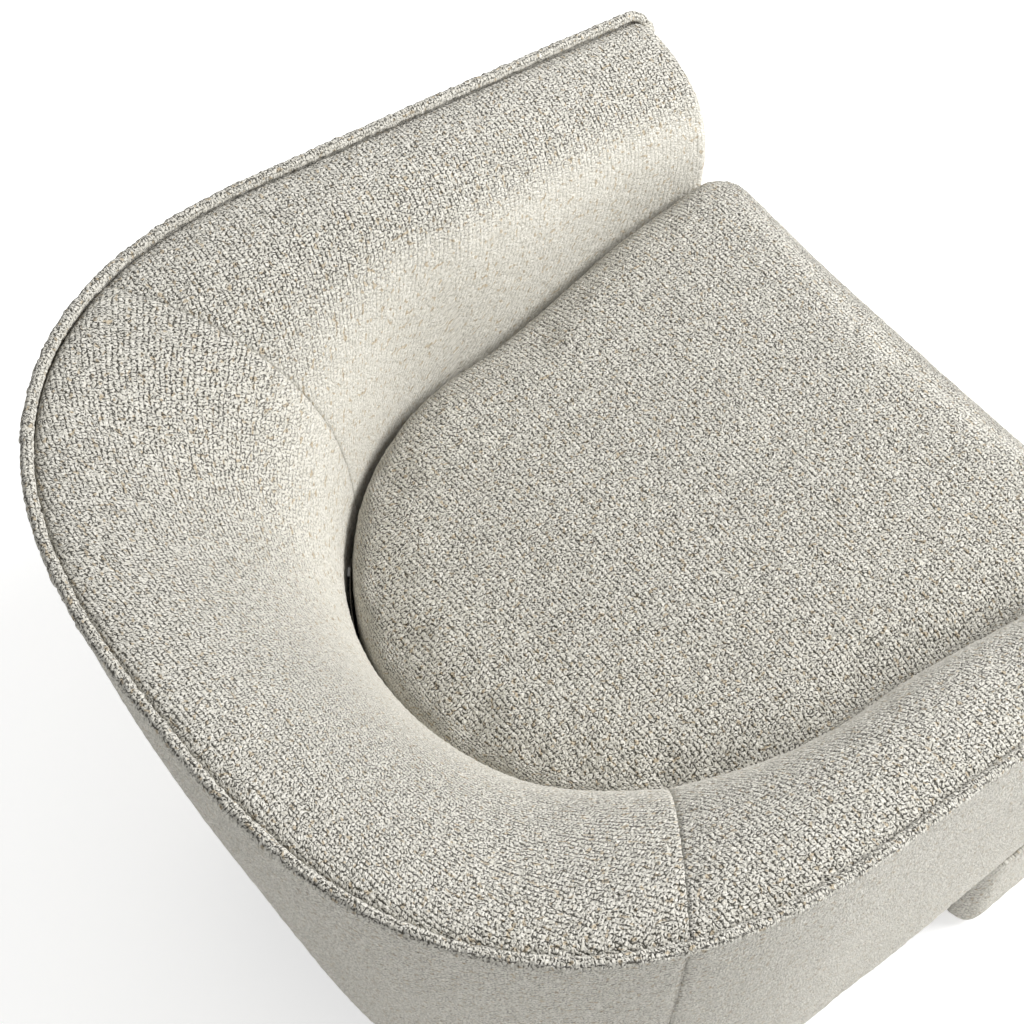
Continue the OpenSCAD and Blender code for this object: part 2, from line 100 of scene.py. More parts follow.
def floor_material():
    made = bpy.data.materials.new("pale_floor")
    made.use_nodes = True
    shader = made.node_tree.nodes["Principled BSDF"]
    shader.inputs["Base Color"].default_value = (0.9, 0.9, 0.89, 1)
    shader.inputs["Roughness"].default_value = 0.9
    shader.inputs["Specular IOR Level"].default_value = 0.1
    shader.inputs["Emission Color"].default_value = (1, 1, 1, 1)
    shader.inputs["Emission Strength"].default_value = 0.55
    return made


floor_mesh = bpy.data.meshes.new("floor")
reach = 12
floor_mesh.from_pydata([(-reach, -reach, 0), (reach, -reach, 0), (reach, reach, 0), (-reach, reach, 0)],
                       [], [(0, 1, 2, 3)])
floor = bpy.data.objects.new("floor", floor_mesh)
floor.data.materials.append(floor_material())
bpy.context.scene.collection.objects.link(floor)
print("two panels, a white sky and a pale floor")

# %% [markdown]
# ## The shape of the shell
# A barrel shell is two curves in plan joined by a section. The rim curve is a superellipse round the back
# that runs on into two nearly straight arms; the seat curve is an ellipse inside it. A station is one
# place along both: a point on the rim, the level direction to the seat curve, and the distance between
# them. Everything that follows the shell is laid out along stations, so all of it agrees.

# %% Sizes taken from the frame
outer_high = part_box("outer_side_cover_left")[1]
inner_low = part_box("inner_arm_cover_left")[0]
back_low, back_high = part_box("outer_back_cover")
welt_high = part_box("welt")[1]
cushion_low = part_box("cushion_lower_cover")[0]

WELT_R = 5 * MM
BACK_Y = back_high.y
ARM_FRONT = inner_low.y
SHELL_LOW = back_low.z
BACK_TOP = welt_high.z - WELT_R
DECK_Z = inner_low.z - 2 * MM
CREASE_Z = DECK_Z + 120 * MM
SEAT_Z = CREASE_Z + 12 * MM
ARM_SPLAY = 8 * MM
RIM_A = outer_high.x - ARM_SPLAY
RIM_DEPTH = 380 * MM
RIM_POWER = 2.62
RIM_SLOPE = 0.235
RIM_EASE = 220 * MM
SEAT_HALF = 255 * MM
SEAT_FLARE = 20 * MM
SEAT_FLARE_LENGTH = 224 * MM
BACK_THICK = 202 * MM
SEAT_ROUND = 263 * MM
SEAT_EASE = 16.8
BACK_ROLL = 1.75
ARM_ROLL = 2.87
BACK_TAPER = 62 * MM
SIDE_TAPER = 22 * MM
NOSE_SIDE = 9 * MM
NOSE_SIDE_REACH = 14 * MM
NOSE_TOP = 11 * MM
NOSE_TOP_REACH = 18 * MM
PAD_T = 45 * MM
SKIN = 3 * MM
SEAM_U = 64.7
FRONT_U = 150.0
RIM_C = BACK_Y - RIM_DEPTH
SEAT_C = BACK_Y - BACK_THICK - SEAT_ROUND
print(f"rim {2 * outer_high.x:.3f} m wide, {BACK_TOP:.3f} m high, deck at {DECK_Z:.3f} m")


# %% Stations along the shell
def power(value, m):
    return 0.0 if value <= 1e-7 else value ** (2 / m)


def step(a, b, value):
    t = min(1.0, max(0.0, (value - a) / (b - a)))
    return t * t * (3 - 2 * t)


def along(u):
    """Share of the straight arm behind station u: 0 at its start, 1 at the front."""
    return max(0.0, (u - 90) / (FRONT_U - 90))


def rim_at(u):
    if u <= 90:
        a = math.radians(u)
        return RIM_A * power(math.sin(a), RIM_POWER), RIM_C + RIM_DEPTH * power(math.cos(a), RIM_POWER)
    return RIM_A + ARM_SPLAY * along(u), RIM_C - (RIM_C - ARM_FRONT) * along(u)


def seat_side(y):
    return SEAT_HALF + SEAT_FLARE * step(0, SEAT_FLARE_LENGTH, SEAT_C - y)


def seat_turn(u):
    """Angle round the seat's ellipse, in radians, that station u looks at."""
    return math.radians(u - SEAT_EASE * math.sin(math.radians(2 * u)))


def seat_at(u):
    if u <= 90:
        turn = seat_turn(u)
        return SEAT_HALF * math.sin(turn), SEAT_C + SEAT_ROUND * math.cos(turn)
    y = SEAT_C - (SEAT_C - ARM_FRONT) * along(u)
    return seat_side(y), y


def rim_height(y):
    d = BACK_Y - y
    return BACK_TOP - RIM_SLOPE * (math.hypot(d, RIM_EASE) - RIM_EASE)


class Station:
    """A place along the shell. Negative u is the sitter's right, positive the left."""

    def __init__(self, u):
        self.u = u
        a = abs(u)
        side = -1 if u < 0 else 1
        px, py = rim_at(a)
        qx, qy = seat_at(a)
        self.width = math.hypot(qx - px, qy - py)
        self.rim = np.array([side * px, py])
        self.to_seat = np.array([side * (qx - px), qy - py]) / self.width
        self.top = rim_height(py)
        self.roll = BACK_ROLL + (ARM_ROLL - BACK_ROLL) * step(40, 95, a)
        self.tilt = (14 + 15 * (1 - step(40, 95, a))) * MM
        self.taper = BACK_TAPER + (SIDE_TAPER - BACK_TAPER) * step(30, 105, a)
        left = (1 - along(a)) * (RIM_C - ARM_FRONT)
        self.nose_side = NOSE_SIDE * self.rounding(left, NOSE_SIDE_REACH)
        self.nose_top = NOSE_TOP * self.rounding(left, NOSE_TOP_REACH)
        ahead = np.subtract(rim_at(a + 0.5), rim_at(a - 0.5))
        self.slant = float(np.linalg.norm(ahead)) / max(1e-9, self.cross_size(ahead, side))

    def cross_size(self, ahead, side):
        return abs(ahead[0] * self.to_seat[1] - ahead[1] * self.to_seat[0] * side)

    @staticmethod
    def rounding(left, reach):
        t = max(0.0, 1 - left / reach)
        return 1 - math.sqrt(max(0.0, 1 - t * t))

    def at(self, s, z):
        """The point s metres in from the rim at height z."""
        x, y = self.rim + self.to_seat * s
        return (x, y, z)


print("back station:", Station(0).at(0, BACK_TOP), "arm front:", Station(FRONT_U).at(0, 0.5))

# %% [markdown]
# ## Boucle
# Boucle is woven from looped yarn. Seen close it is pale loops in rows, with dark gaps between them: the
# dark is painted shade, the shadow that falls into the hollows between loops. Loops could be modelled one
# by one, but a chair has half a million of them. Instead one shader group draws the rows as jittered cells
# and gives back a height for the bump, a mask for the gaps and a tone for each loop. Each cloth panel
# carries its own flat coordinates, in metres, in an attribute called cloth, so the rows run the way the
# panel was cut. A second attribute, open, follows how far the surface faces up: it gives the full painted
# gap shade and bump on level tops, and less where the cloth hangs steeply.


# %% Small helpers for node trees
def link(tree, source, target):
    tree.links.new(source, target)


def math_node(tree, kind, a, b=None, clamp=False):
    node = tree.nodes.new("ShaderNodeMath")
    node.operation = kind
    node.use_clamp = clamp
    for socket, value in zip(node.inputs, (a, b)):
        if value is None:
            continue
        if isinstance(value, (int, float)):
            socket.default_value = value
        else:
            link(tree, value, socket)
    return node.outputs[0]


def vector_node(tree, kind, a, b):
    node = tree.nodes.new("ShaderNodeVectorMath")
    node.operation = kind
    for socket, value in zip(node.inputs, (a, b)):
        if isinstance(value, tuple):
            socket.default_value = value
        else:
            link(tree, value, socket)
    return node.outputs[0]


def scaled(tree, vector, factor):
    node = tree.nodes.new("ShaderNodeVectorMath")
    node.operation = "SCALE"
    link(tree, vector, node.inputs[0])
    if isinstance(factor, (int, float)):
        node.inputs["Scale"].default_value = factor
    else:
        link(tree, factor, node.inputs["Scale"])
    return node.outputs[0]


def ramp(tree, value, low, high, out_low=0.0, out_high=1.0):
    node = tree.nodes.new("ShaderNodeMapRange")
    node.interpolation_type = "SMOOTHSTEP"
    link(tree, value, node.inputs["Value"])
    node.inputs["From Min"].default_value = low
    node.inputs["From Max"].default_value = high
    node.inputs["To Min"].default_value = out_low
    node.inputs["To Max"].default_value = out_high
    return node.outputs["Result"]


def noise_node(tree, vector, scale, detail=2.0, rough=0.5):
    node = tree.nodes.new("ShaderNodeTexNoise")
    link(tree, vector, node.inputs["Vector"])
    node.inputs["Scale"].default_value = scale
    node.inputs["Detail"].default_value = detail
    node.inputs["Roughness"].default_value = rough
    return node


def mix_colour(tree, factor, a, b, kind="MIX"):
    node = tree.nodes.new("ShaderNodeMix")
    node.data_type = "RGBA"
    node.blend_type = kind
    for name, value in (("Factor", factor), ("A", a), ("B", b)):
        sockets = [s for s in node.inputs if s.name == name and s.enabled]
        if isinstance(value, (int, float)):
            sockets[0].default_value = value
        elif isinstance(value, tuple):
            sockets[0].default_value = (*value, 1)
        else:
            link(tree, value, sockets[0])
    return [s for s in node.outputs if s.enabled][0]


def new_group(name, inputs, outputs):
    """An empty node group with its sockets. A socket is (name, kind, default)."""
    tree = bpy.data.node_groups.new(name, "ShaderNodeTree")
    for label, kind, default in inputs:
        socket = tree.interface.new_socket(label, in_out="INPUT", socket_type="NodeSocket" + kind)
        if default is not None:
            socket.default_value = default
    for label, kind in outputs:
        tree.interface.new_socket(label, in_out="OUTPUT", socket_type="NodeSocket" + kind)
    return tree, tree.nodes.new("NodeGroupInput"), tree.nodes.new("NodeGroupOutput")


print("node helpers:", link.__name__, math_node.__name__, ramp.__name__, mix_colour.__name__)

# %% [markdown]
# ### Rows of loops
# Two noises bend the flat coordinates so that no row is straight. Stretched by the row and loop spacing,
# the same coordinates feed a jittered cell pattern: its cells are loops, its edges are the gaps. A mask
# breaks the gaps into short dashes, so the painted shade in them shows only as short dark marks.

# %% The loop rows
def build_loops():
    tree, given, out = new_group(
        "boucle_loops",
        [("Vector", "Vector", None), ("Row", "Float", 4.45 * MM), ("Loop", "Float", 2.7 * MM)],
        [("Height", "Float"), ("Gap", "Float"), ("Tone", "Float"), ("Fleck", "Float")],
    )
    flat = given.outputs["Vector"]
    wide = noise_node(tree, flat, 70, 1.0)
    near = noise_node(tree, flat, 320, 1.0)
    half = (0.5, 0.5, 0.5)
    shift = vector_node(
        tree, "ADD",
        scaled(tree, vector_node(tree, "SUBTRACT", wide.outputs["Color"], half), 3.0 * MM),
        scaled(tree, vector_node(tree, "SUBTRACT", near.outputs["Color"], half), 2.2 * MM))
    moved = vector_node(tree, "ADD", flat, shift)
    split = tree.nodes.new("ShaderNodeSeparateXYZ")
    link(tree, moved, split.inputs[0])
    across = math_node(tree, "DIVIDE", split.outputs["X"], given.outputs["Loop"])
    row = math_node(tree, "DIVIDE", split.outputs["Y"], given.outputs["Row"])
    joined = tree.nodes.new("ShaderNodeCombineXYZ")
    link(tree, across, joined.inputs["X"])
    link(tree, row, joined.inputs["Y"])
    link(tree, split.outputs["Z"], joined.inputs["Z"])

    def cells(vector, scale, feature, loose):
        node = tree.nodes.new("ShaderNodeTexVoronoi")
        node.voronoi_dimensions = "2D"
        node.feature = feature
        link(tree, vector, node.inputs["Vector"])
        node.inputs["Scale"].default_value = scale
        node.inputs["Randomness"].default_value = loose
        return node

    loop = cells(joined.outputs[0], 1.0, "F1", 0.8)
    edge = cells(joined.outputs[0], 1.0, "DISTANCE_TO_EDGE", 0.8)
    curl = cells(joined.outputs[0], 2.3, "F1", 1.0)
    # Rows: lowest, and darkest with painted shade, half way between two rows of loops
    row_phase = math_node(tree, "FRACT", row)
    row_edge = math_node(tree, "ABSOLUTE", math_node(tree, "SUBTRACT", row_phase, 0.5))
    valley = ramp(tree, row_edge, 0.24, 0.5)
    patch = noise_node(tree, moved, 560, 1.0)
    patch_mask = ramp(tree, patch.outputs["Fac"], 0.45, 0.54)
    edge_gap = ramp(tree, edge.outputs["Distance"], 0.19, 0.06)
    row_gap = math_node(tree, "MULTIPLY", valley, 0.9)
    seam_gap = math_node(tree, "MAXIMUM", math_node(tree, "MULTIPLY", edge_gap, 0.95), row_gap)
    gap = math_node(tree, "MULTIPLY", seam_gap, patch_mask, clamp=True)
    dome = ramp(tree, loop.outputs["Distance"], 0.75, 0.05)
    knot = ramp(tree, curl.outputs["Distance"], 0.7, 0.05)
    body = math_node(tree, "ADD", math_node(tree, "MULTIPLY", dome, 0.55),
                     math_node(tree, "MULTIPLY", knot, 0.35))
    sunk = math_node(tree, "SUBTRACT", body, math_node(tree, "MULTIPLY", gap, 0.9))
    low_row = math_node(tree, "SUBTRACT", sunk, math_node(tree, "MULTIPLY", valley, 0.25))
    link(tree, low_row, out.inputs["Height"])
    link(tree, gap, out.inputs["Gap"])
    grey = tree.nodes.new("ShaderNodeRGBToBW")
    link(tree, curl.outputs["Color"], grey.inputs[0])
    link(tree, grey.outputs[0], out.inputs["Tone"])
    fleck = noise_node(tree, moved, 210, 0.0)
    link(tree, ramp(tree, fleck.outputs["Fac"], 0.66, 0.72), out.inputs["Fleck"])
    return tree


loops_group = build_loops()
print("loop rows:", len(loops_group.nodes), "nodes")


# %% Wear and dust, shared by every finish
def build_soil():
    """Slow unevenness of tone: where hands and dust have been."""
    tree, given, out = new_group(
        "soft_unevenness",
        [("Vector", "Vector", None), ("Size", "Float", 6.0), ("Depth", "Float", 0.1)],
        [("Factor", "Float")],
    )
    node = noise_node(tree, given.outputs["Vector"], 1.0, 3.0)
    link(tree, given.outputs["Size"], node.inputs["Scale"])
    swing = math_node(tree, "MULTIPLY", math_node(tree, "SUBTRACT", node.outputs["Fac"], 0.5), 2.0)
    deep = math_node(tree, "MULTIPLY", swing, given.outputs["Depth"])
    link(tree, math_node(tree, "ADD", deep, 1.0), out.inputs["Factor"])
    return tree


soil_group = build_soil()
print("unevenness:", len(soil_group.nodes), "nodes")


def place_group(tree, group, **values):
    node = tree.nodes.new("ShaderNodeGroup")
    node.node_tree = group
    for label, value in values.items():
        if isinstance(value, (int, float)):
            node.inputs[label].default_value = value
        else:
            link(tree, value, node.inputs[label])
    return node


# %% Boucle as a material
CREAM = (0.73, 0.71, 0.65)
SHADE = (0.53, 0.505, 0.435)
# The gap colour is painted shade: the shadow that falls into the hollows between the loops.
GAP_SHADE = (0.022, 0.019, 0.011)
OCHRE = (0.36, 0.25, 0.11)


def boucle(name, row=4.45 * MM, loop=2.7 * MM, gap_depth=1.0):
    made = bpy.data.materials.new(name)
    made.use_nodes = True
    tree = made.node_tree
    shader = tree.nodes["Principled BSDF"]
    cloth = tree.nodes.new("ShaderNodeAttribute")
    cloth.attribute_name = "cloth"
    opened = tree.nodes.new("ShaderNodeAttribute")
    opened.attribute_name = "open"
    loops = place_group(tree, loops_group, Vector=cloth.outputs["Vector"], Row=row, Loop=loop)
    # open scales the painted gap shade: full where the cloth faces up, less where it hangs steeply.
    gap_open = ramp(tree, opened.outputs["Fac"], 0.0, 1.0, 0.3, gap_depth)
    gap = math_node(tree, "MULTIPLY", loops.outputs["Gap"], gap_open, clamp=True)
    pale = mix_colour(tree, loops.outputs["Tone"], SHADE, CREAM)
    flecked = mix_colour(tree, math_node(tree, "MULTIPLY", loops.outputs["Fleck"], 0.55), pale, OCHRE)
    # Painted shade laid into the gaps between loops.
    dark = mix_colour(tree, gap, flecked, GAP_SHADE)
    soil = place_group(tree, soil_group, Vector=cloth.outputs["Vector"], Size=9.0, Depth=0.05)
    grey = tree.nodes.new("ShaderNodeCombineColor")
    for channel in ("Red", "Green", "Blue"):
        link(tree, soil.outputs["Factor"], grey.inputs[channel])
    link(tree, mix_colour(tree, 1.0, dark, grey.outputs[0], "MULTIPLY"), shader.inputs["Base Color"])
    bump = tree.nodes.new("ShaderNodeBump")
    bump.inputs["Distance"].default_value = 1.6 * MM
    link(tree, ramp(tree, opened.outputs["Fac"], 0.0, 1.0, 0.4, 0.85), bump.inputs["Strength"])
    link(tree, loops.outputs["Height"], bump.inputs["Height"])
    link(tree, bump.outputs["Normal"], shader.inputs["Normal"])
    shader.inputs["Roughness"].default_value = 0.95
    shader.inputs["Specular IOR Level"].default_value = 0.15
    shader.inputs["Sheen Weight"].default_value = 0.35
    shader.inputs["Sheen Roughness"].default_value = 0.45
    shader.inputs["Sheen Tint"].default_value = (0.95, 0.93, 0.88, 1)
    return made


boucle_cloth = boucle("boucle_cloth")
print("boucle material:", len(boucle_cloth.node_tree.nodes), "nodes")

# %% [markdown]
# ## Turning grids into cloth panels
# Every panel of the cover is a grid: one direction along the shell, the other down the section. The grid
# knows each point's place on the flat cut cloth, because the distance down the section is measured along
# the curve. Loops stand about a millimetre proud, so each point also moves a little in and out: that is
# what roughens the outline. Last, the sheet gets its thickness.

# %% Grid, lumps and thickness
LUMP = 0.7 * MM
# A floor on open, so steep panels keep part of the painted gap shade and bump.
STEEP_OPEN = 0.5


def yarn_lumps(point):
    coarse = noise.noise(point * 110)
    fine = noise.noise(point * 290)
    return LUMP * (1.1 * fine + 0.7 * coarse)


def roughened(mesh, amount):
    """Move every point in or out by the height of the yarn there. Gives back the normals from before."""
    normals = [v.normal.copy() for v in mesh.vertices]
    for v, n in zip(mesh.vertices, normals):
        v.co = v.co + n * (yarn_lumps(v.co) * amount)
    return normals


def cloth_panel(name, points, flat, body, node_names, thick=SKIN, lumps=1.0, loop_round=False,
                least_open=0.0):
    """points and flat are [row][column] lists; flat holds (x, y) on the cut cloth, in metres."""
    rows = len(points)
    columns = len(points[0])
    verts = [Vector(p) for line in points for p in line]
    faces = []
    for i in range(rows - 1):
        for j in range(columns - (0 if loop_round else 1)):
            k = (j + 1) % columns
            faces.append((i * columns + j, i * columns + k, (i + 1) * columns + k, (i + 1) * columns + j))
    mesh = bpy.data.meshes.new(name)
    mesh.from_pydata(verts, [], faces)
    mesh.update()
    normals = roughened(mesh, lumps)
    cloth = mesh.attributes.new("cloth", "FLOAT_VECTOR", "POINT")
    cloth.data.foreach_set("vector", [c for line in flat for f in line for c in (f[0], f[1], 0.0)])
    # open follows how far each point faces up; it sets how much painted gap shade and bump the boucle
    # shows.
    opened = mesh.attributes.new("open", "FLOAT", "POINT")
    opened.data.foreach_set("value", [max(least_open, step(0.15, 0.85, n.z)) for n in normals])
    for poly in mesh.polygons:
        poly.use_smooth = True
    mesh.materials.append(boucle_cloth)
    panel = bpy.data.objects.new(name, mesh)
    bpy.context.scene.collection.objects.link(panel)
    if thick:
        solid = panel.modifiers.new("thickness", "SOLIDIFY")
        solid.thickness = thick
        solid.offset = -1
        apply_modifiers(panel)
    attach(panel, body)
    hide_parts(*node_names)
    print(f"{name}: {len(panel.data.vertices)} points")
    return panel


def apply_modifiers(piece):
    bpy.context.view_layer.update()
    shaped = piece.evaluated_get(bpy.context.evaluated_depsgraph_get())
    mesh = bpy.data.meshes.new_from_object(shaped)
    old = piece.data
    piece.modifiers.clear()
    piece.data = mesh
    bpy.data.meshes.remove(old)


def spaced(start, end, gap):
    count = max(2, int(math.ceil(abs(end - start) / gap)))
    return [start + (end - start) * i / count for i in range(count + 1)]


# %% [markdown]
# ## Inner covers
# The inside of the shell is three padded panels: back, left arm and right arm. The section of each is a
# superellipse: nearly flat at the rim, rolling over, and plumb by the time it reaches the cushion. Each
# panel is pulled down into the seam that it shares with its neighbour, so the foam swells between seams.

# %% Section of the padding
def roll_line(st, start, width, top, low):
    """A superellipse from the rim over to the wall, then plumb down to low, as (s, z)."""
    line = []
    for phi in list(np.linspace(0, 12, 7)) + list(np.linspace(14, 90, 62)):
        a = power(math.sin(math.radians(phi)), st.roll)
        c = power(math.cos(math.radians(phi)), st.roll)
        line.append((start + (width - start) * a, CREASE_Z + (top - CREASE_Z) * c - st.tilt * a * c))
    for z in spaced(CREASE_Z, low, 8 * MM)[1:]:
        line.append((width, z))
    return line


def pad_start(st):
    return 2 * MM + (WELT_R - 0.6 * MM) * st.slant + st.nose_side


def pad_section(st):
    """The padding's face, dipping into the groove beside the welt, as (s, z)."""
    start = pad_start(st)
    line = roll_line(st, start, st.width - st.nose_side, st.top - st.nose_top, DECK_Z + 2 * MM)
    dipped = [(s, z - 5.5 * MM * math.exp(-((s - start) / (4.2 * MM)) ** 1.3)) for s, z in line[1:]]
    return [(start - 0.6 * MM, line[0][1] - 9 * MM), (start, line[0][1] - 5.5 * MM)] + dipped


def even(line, gap, count=None):
    """The same line with evenly spaced points."""
    pts = np.array(line)
    length = np.concatenate([[0], np.cumsum(np.linalg.norm(np.diff(pts, axis=0), axis=1))])
    count = count or max(8, int(length[-1] / gap))
    marks = np.linspace(0, length[-1], count + 1)
    return [tuple(np.interp(m, length, pts[:, k]) for k in range(pts.shape[1])) for m in marks], marks


print("padding section:", len(pad_section(Station(0))), "points at the back")

# %% [markdown]
# ### Panels from sections
# A panel is the section repeated along its stations. The back's flat pattern is a fan: its outer edge is
# the length of the rim and its inner edge the length of the crease, so the rows of loops neither bunch up
# nor cross. Each panel's end turns down into the seam.

# %% Inner panels
GRID = 4.5 * MM
SECTION_STEPS = 112
SEAM_TUCK = 9 * MM
FAN = 788 * MM


def seam_pull(u, seams):
    """How far the cloth is drawn down near a seam, from 0 to 1. u is in degrees of station."""
    nearest = min(abs(u - e) for e in seams)
    return math.exp(-(nearest / 4.0) ** 2) * 0.5 + math.exp(-(nearest / 0.8) ** 2) * 0.5


def inward(line, depth):
    """The line moved sideways into the padding by depth, one value or one per point."""
    pts = np.array(line)
    ahead = np.gradient(pts, axis=0)
    ahead /= np.maximum(1e-9, np.linalg.norm(ahead, axis=1))[:, None]
    return pts + np.stack([ahead[:, 1], -ahead[:, 0]], axis=1) * np.reshape(depth, (-1, 1))


def fan_angles(us):
    """Where each station lies on the back's cut panel, a fan of radius FAN centred on the back."""
    rims = [Station(u).rim for u in us]
    travel = [0.0]
    for a, b in zip(rims, rims[1:]):
        travel.append(travel[-1] + float(np.linalg.norm(b - a)))
    return [(t - travel[-1] / 2) / FAN for t in travel]


def pad_grid(us, seams, angles=None):
    points = []
    flat = []
    for count, u in enumerate(us):
        st = Station(u)
        line, marks = even(pad_section(st), GRID, SECTION_STEPS)
        share = marks / marks[-1]
        fade = np.array([step(0.0, 0.08, v) * (1 - step(0.6, 0.85, v)) for v in share])
        dipped = inward(line, 2.6 * MM * seam_pull(u, seams) * fade)
        laid = [tuple(st.rim + st.to_seat * m) for m in marks]
        if angles:
            turn = angles[count]
            laid = [((FAN - m) * math.sin(turn), (FAN - m) * math.cos(turn)) for m in marks]
        points.append([st.at(s, z) for s, z in dipped])
        flat.append(laid)
        if min(abs(u - e) for e in seams) < 1e-6:
            tucked = [st.at(s, z) for s, z in inward(line, SEAM_TUCK)]
            place = 0 if len(points) == 1 else len(points)
            points.insert(place, tucked)
            flat.insert(place, [(x + 0.006, y) for x, y in laid])
    return points, flat


ARM_STATIONS = spaced(SEAM_U, 90, 0.6) + spaced(90, 145, 0.6)[1:] + spaced(145, FRONT_U, 0.2)[1:]
BACK_STATIONS = spaced(-SEAM_U, SEAM_U, 0.6)


def arm_stations(side):
    return ARM_STATIONS if side > 0 else [-u for u in reversed(ARM_STATIONS)]


SIDES = ((1, "left"), (-1, "right"))
back_points, back_flat = pad_grid(BACK_STATIONS, (-SEAM_U, SEAM_U), fan_angles(BACK_STATIONS))
inner_cloths = [cloth_panel("inner_back_cloth", back_points, back_flat, "chair", ["inner_back_cover"])]
for side, word in SIDES:
    grid, laid = pad_grid(arm_stations(side), (side * SEAM_U,))
    name = f"inner_arm_cloth_{word}"
    inner_cloths.append(cloth_panel(name, grid, laid, "chair", [f"inner_arm_cover_{word}"]))


# %% [markdown]
# ## Outer covers
# The outside is plain: a panel round the back and one down each side, hanging plumb from the welt and
# leaning in towards the bottom, where the cloth turns under the frame. The only lines are the two upright
# seams.

# %% Outer panels
def wall_section(st):
    top = st.top - st.nose_top - WELT_R * 0.5
    line = []
    for k in range(61):
        z = top + (SHELL_LOW + 9 * MM - top) * k / 60
        lean = st.taper * max(0.0, (top - z) / (top - SHELL_LOW)) ** 1.35
        line.append((lean + st.nose_side, z))
    s_end, z_end = line[-1]
    for a in range(15, 91, 15):
        turn = math.radians(a)
        line.append((s_end + 9 * MM * (1 - math.cos(turn)), z_end - 8.8 * MM * math.sin(turn)))
    line.append((line[-1][0] + 12 * MM, line[-1][1] + 0.3 * MM))
    return line


def wall_grid(us, seams):
    points = []
    flat = []
    distance = 0.0
    before = None
    for u in us:
        st = Station(u)
        if before is not None:
            distance += float(np.linalg.norm(st.rim - before))
        before = st.rim
        line, marks = even(wall_section(st), GRID, 118)
        pull = math.exp(-(min(abs(u - e) for e in seams) / 0.7) ** 2) * 2.2 * MM
        points.append([st.at(s + pull, z) for s, z in line])
        flat.append([(distance, st.top - m) for m in marks])
    return points, flat


panels = [("outer_back", "outer_back_cover", BACK_STATIONS, (-SEAM_U, SEAM_U))]
for side, word in SIDES:
    panels.append((f"outer_side_{word}", f"outer_side_cover_{word}", arm_stations(side), (side * SEAM_U,)))
for name, node, us, seams in panels:
    grid, laid = wall_grid(us, seams)
    grid = [list(reversed(line)) for line in grid]
    laid = [list(reversed(line)) for line in laid]
    cloth_panel(f"{name}_cloth", grid, laid, "chair", [node], least_open=STEEP_OPEN)

# %% [markdown]
# ## Welt
# The welt is a cord wrapped in a strip of the same cloth. It is a tube swept along the rim seam, a little
# uneven, because looped yarn never lies quite round.


# %% Welt
def sweep(path, radius, sides):
    """Grid of rings along a path, and the matching flat cloth."""
    pts = [Vector(p) for p in path]
    grid = []
    laid = []
    run = 0.0
    for i, p in enumerate(pts):
        ahead = pts[min(len(pts) - 1, i + 1)] - pts[max(0, i - 1)]
        ahead.normalize()
        side = Vector((0, 0, 1)).cross(ahead).normalized()
        up = ahead.cross(side)
        run += (p - pts[i - 1]).length if i else 0.0
        ring = []
        flat = []
        for k in range(sides):
            a = 2 * math.pi * k / sides
            ring.append(p + radius * (side * math.cos(a) + up * math.sin(a)))
            flat.append((run, radius * (a if a <= math.pi else 2 * math.pi - a)))
        grid.append(ring)
        laid.append(flat)
    return grid, laid


def welt_path():
    us = arm_stations(-1) + BACK_STATIONS[1:-1] + arm_stations(1)
    path = []
    for u in us:
        st = Station(u)
        path.append(st.at(2 * MM + st.nose_side, st.top - st.nose_top))
    return path


def close_ends(piece):
    made = bmesh.new()
    made.from_mesh(piece.data)
    bmesh.ops.holes_fill(made, edges=[e for e in made.edges if e.is_boundary], sides=0)
    made.to_mesh(piece.data)
    made.free()


WELT_STEP = 1.7 * MM
rim_line = even(welt_path(), WELT_STEP)[0]
end_x, end_y, end_z = rim_line[-1]
tuck = [(end_x, end_y - 3 * MM - k * 0.5 * MM, end_z - 2.5 * MM * k) for k in (1, 2, 3, 4)]
back_tuck = [(-x, y, z) for x, y, z in reversed(tuck)]
welt_grid, welt_flat = sweep(back_tuck + rim_line + tuck, WELT_R, 18)
welt = cloth_panel("welt_cloth", welt_grid, welt_flat, "chair", ["welt"], thick=0, lumps=1.5,
                   loop_round=True, least_open=STEEP_OPEN)
close_ends(welt)

# %% [markdown]
# ## Arm fronts and front border
# Each arm ends in a flat panel cut to the arm's own section, with thin wadding behind it. Under the
# cushion a border closes the front. A patch blended between its four edges gives an even grid over an odd
# outline, and the wadding is a swelling that starts a little way in from the seam.


# %% A panel over four edges
def blended_patch(bottom, top, left, right):
    """Coons patch. Each edge is a list of (x, z); left and right run from bottom to top."""
    columns, rows = len(bottom), len(left)
    grid = []
    for i in range(rows):
        t = i / (rows - 1)
        line = []
        for j in range(columns):
            v = j / (columns - 1)
            ruled = (1 - t) * np.array(bottom[j]) + t * np.array(top[j])
            ruled = ruled + (1 - v) * np.array(left[i]) + v * np.array(right[i])
            corner = (1 - v) * (1 - t) * np.array(bottom[0]) + v * (1 - t) * np.array(bottom[-1])
            corner = corner + (1 - v) * t * np.array(top[0]) + v * t * np.array(top[-1])
            line.append(ruled - corner)
        grid.append(line)
    return grid


def edge_distance(grid, i, j):
    here = grid[i][j]
    ends = (grid[0][j], grid[-1][j], grid[i][0], grid[i][-1])
    return min(float(np.linalg.norm(here - e)) for e in ends)


BORDER_X = SEAT_HALF + SEAT_FLARE - 3 * MM


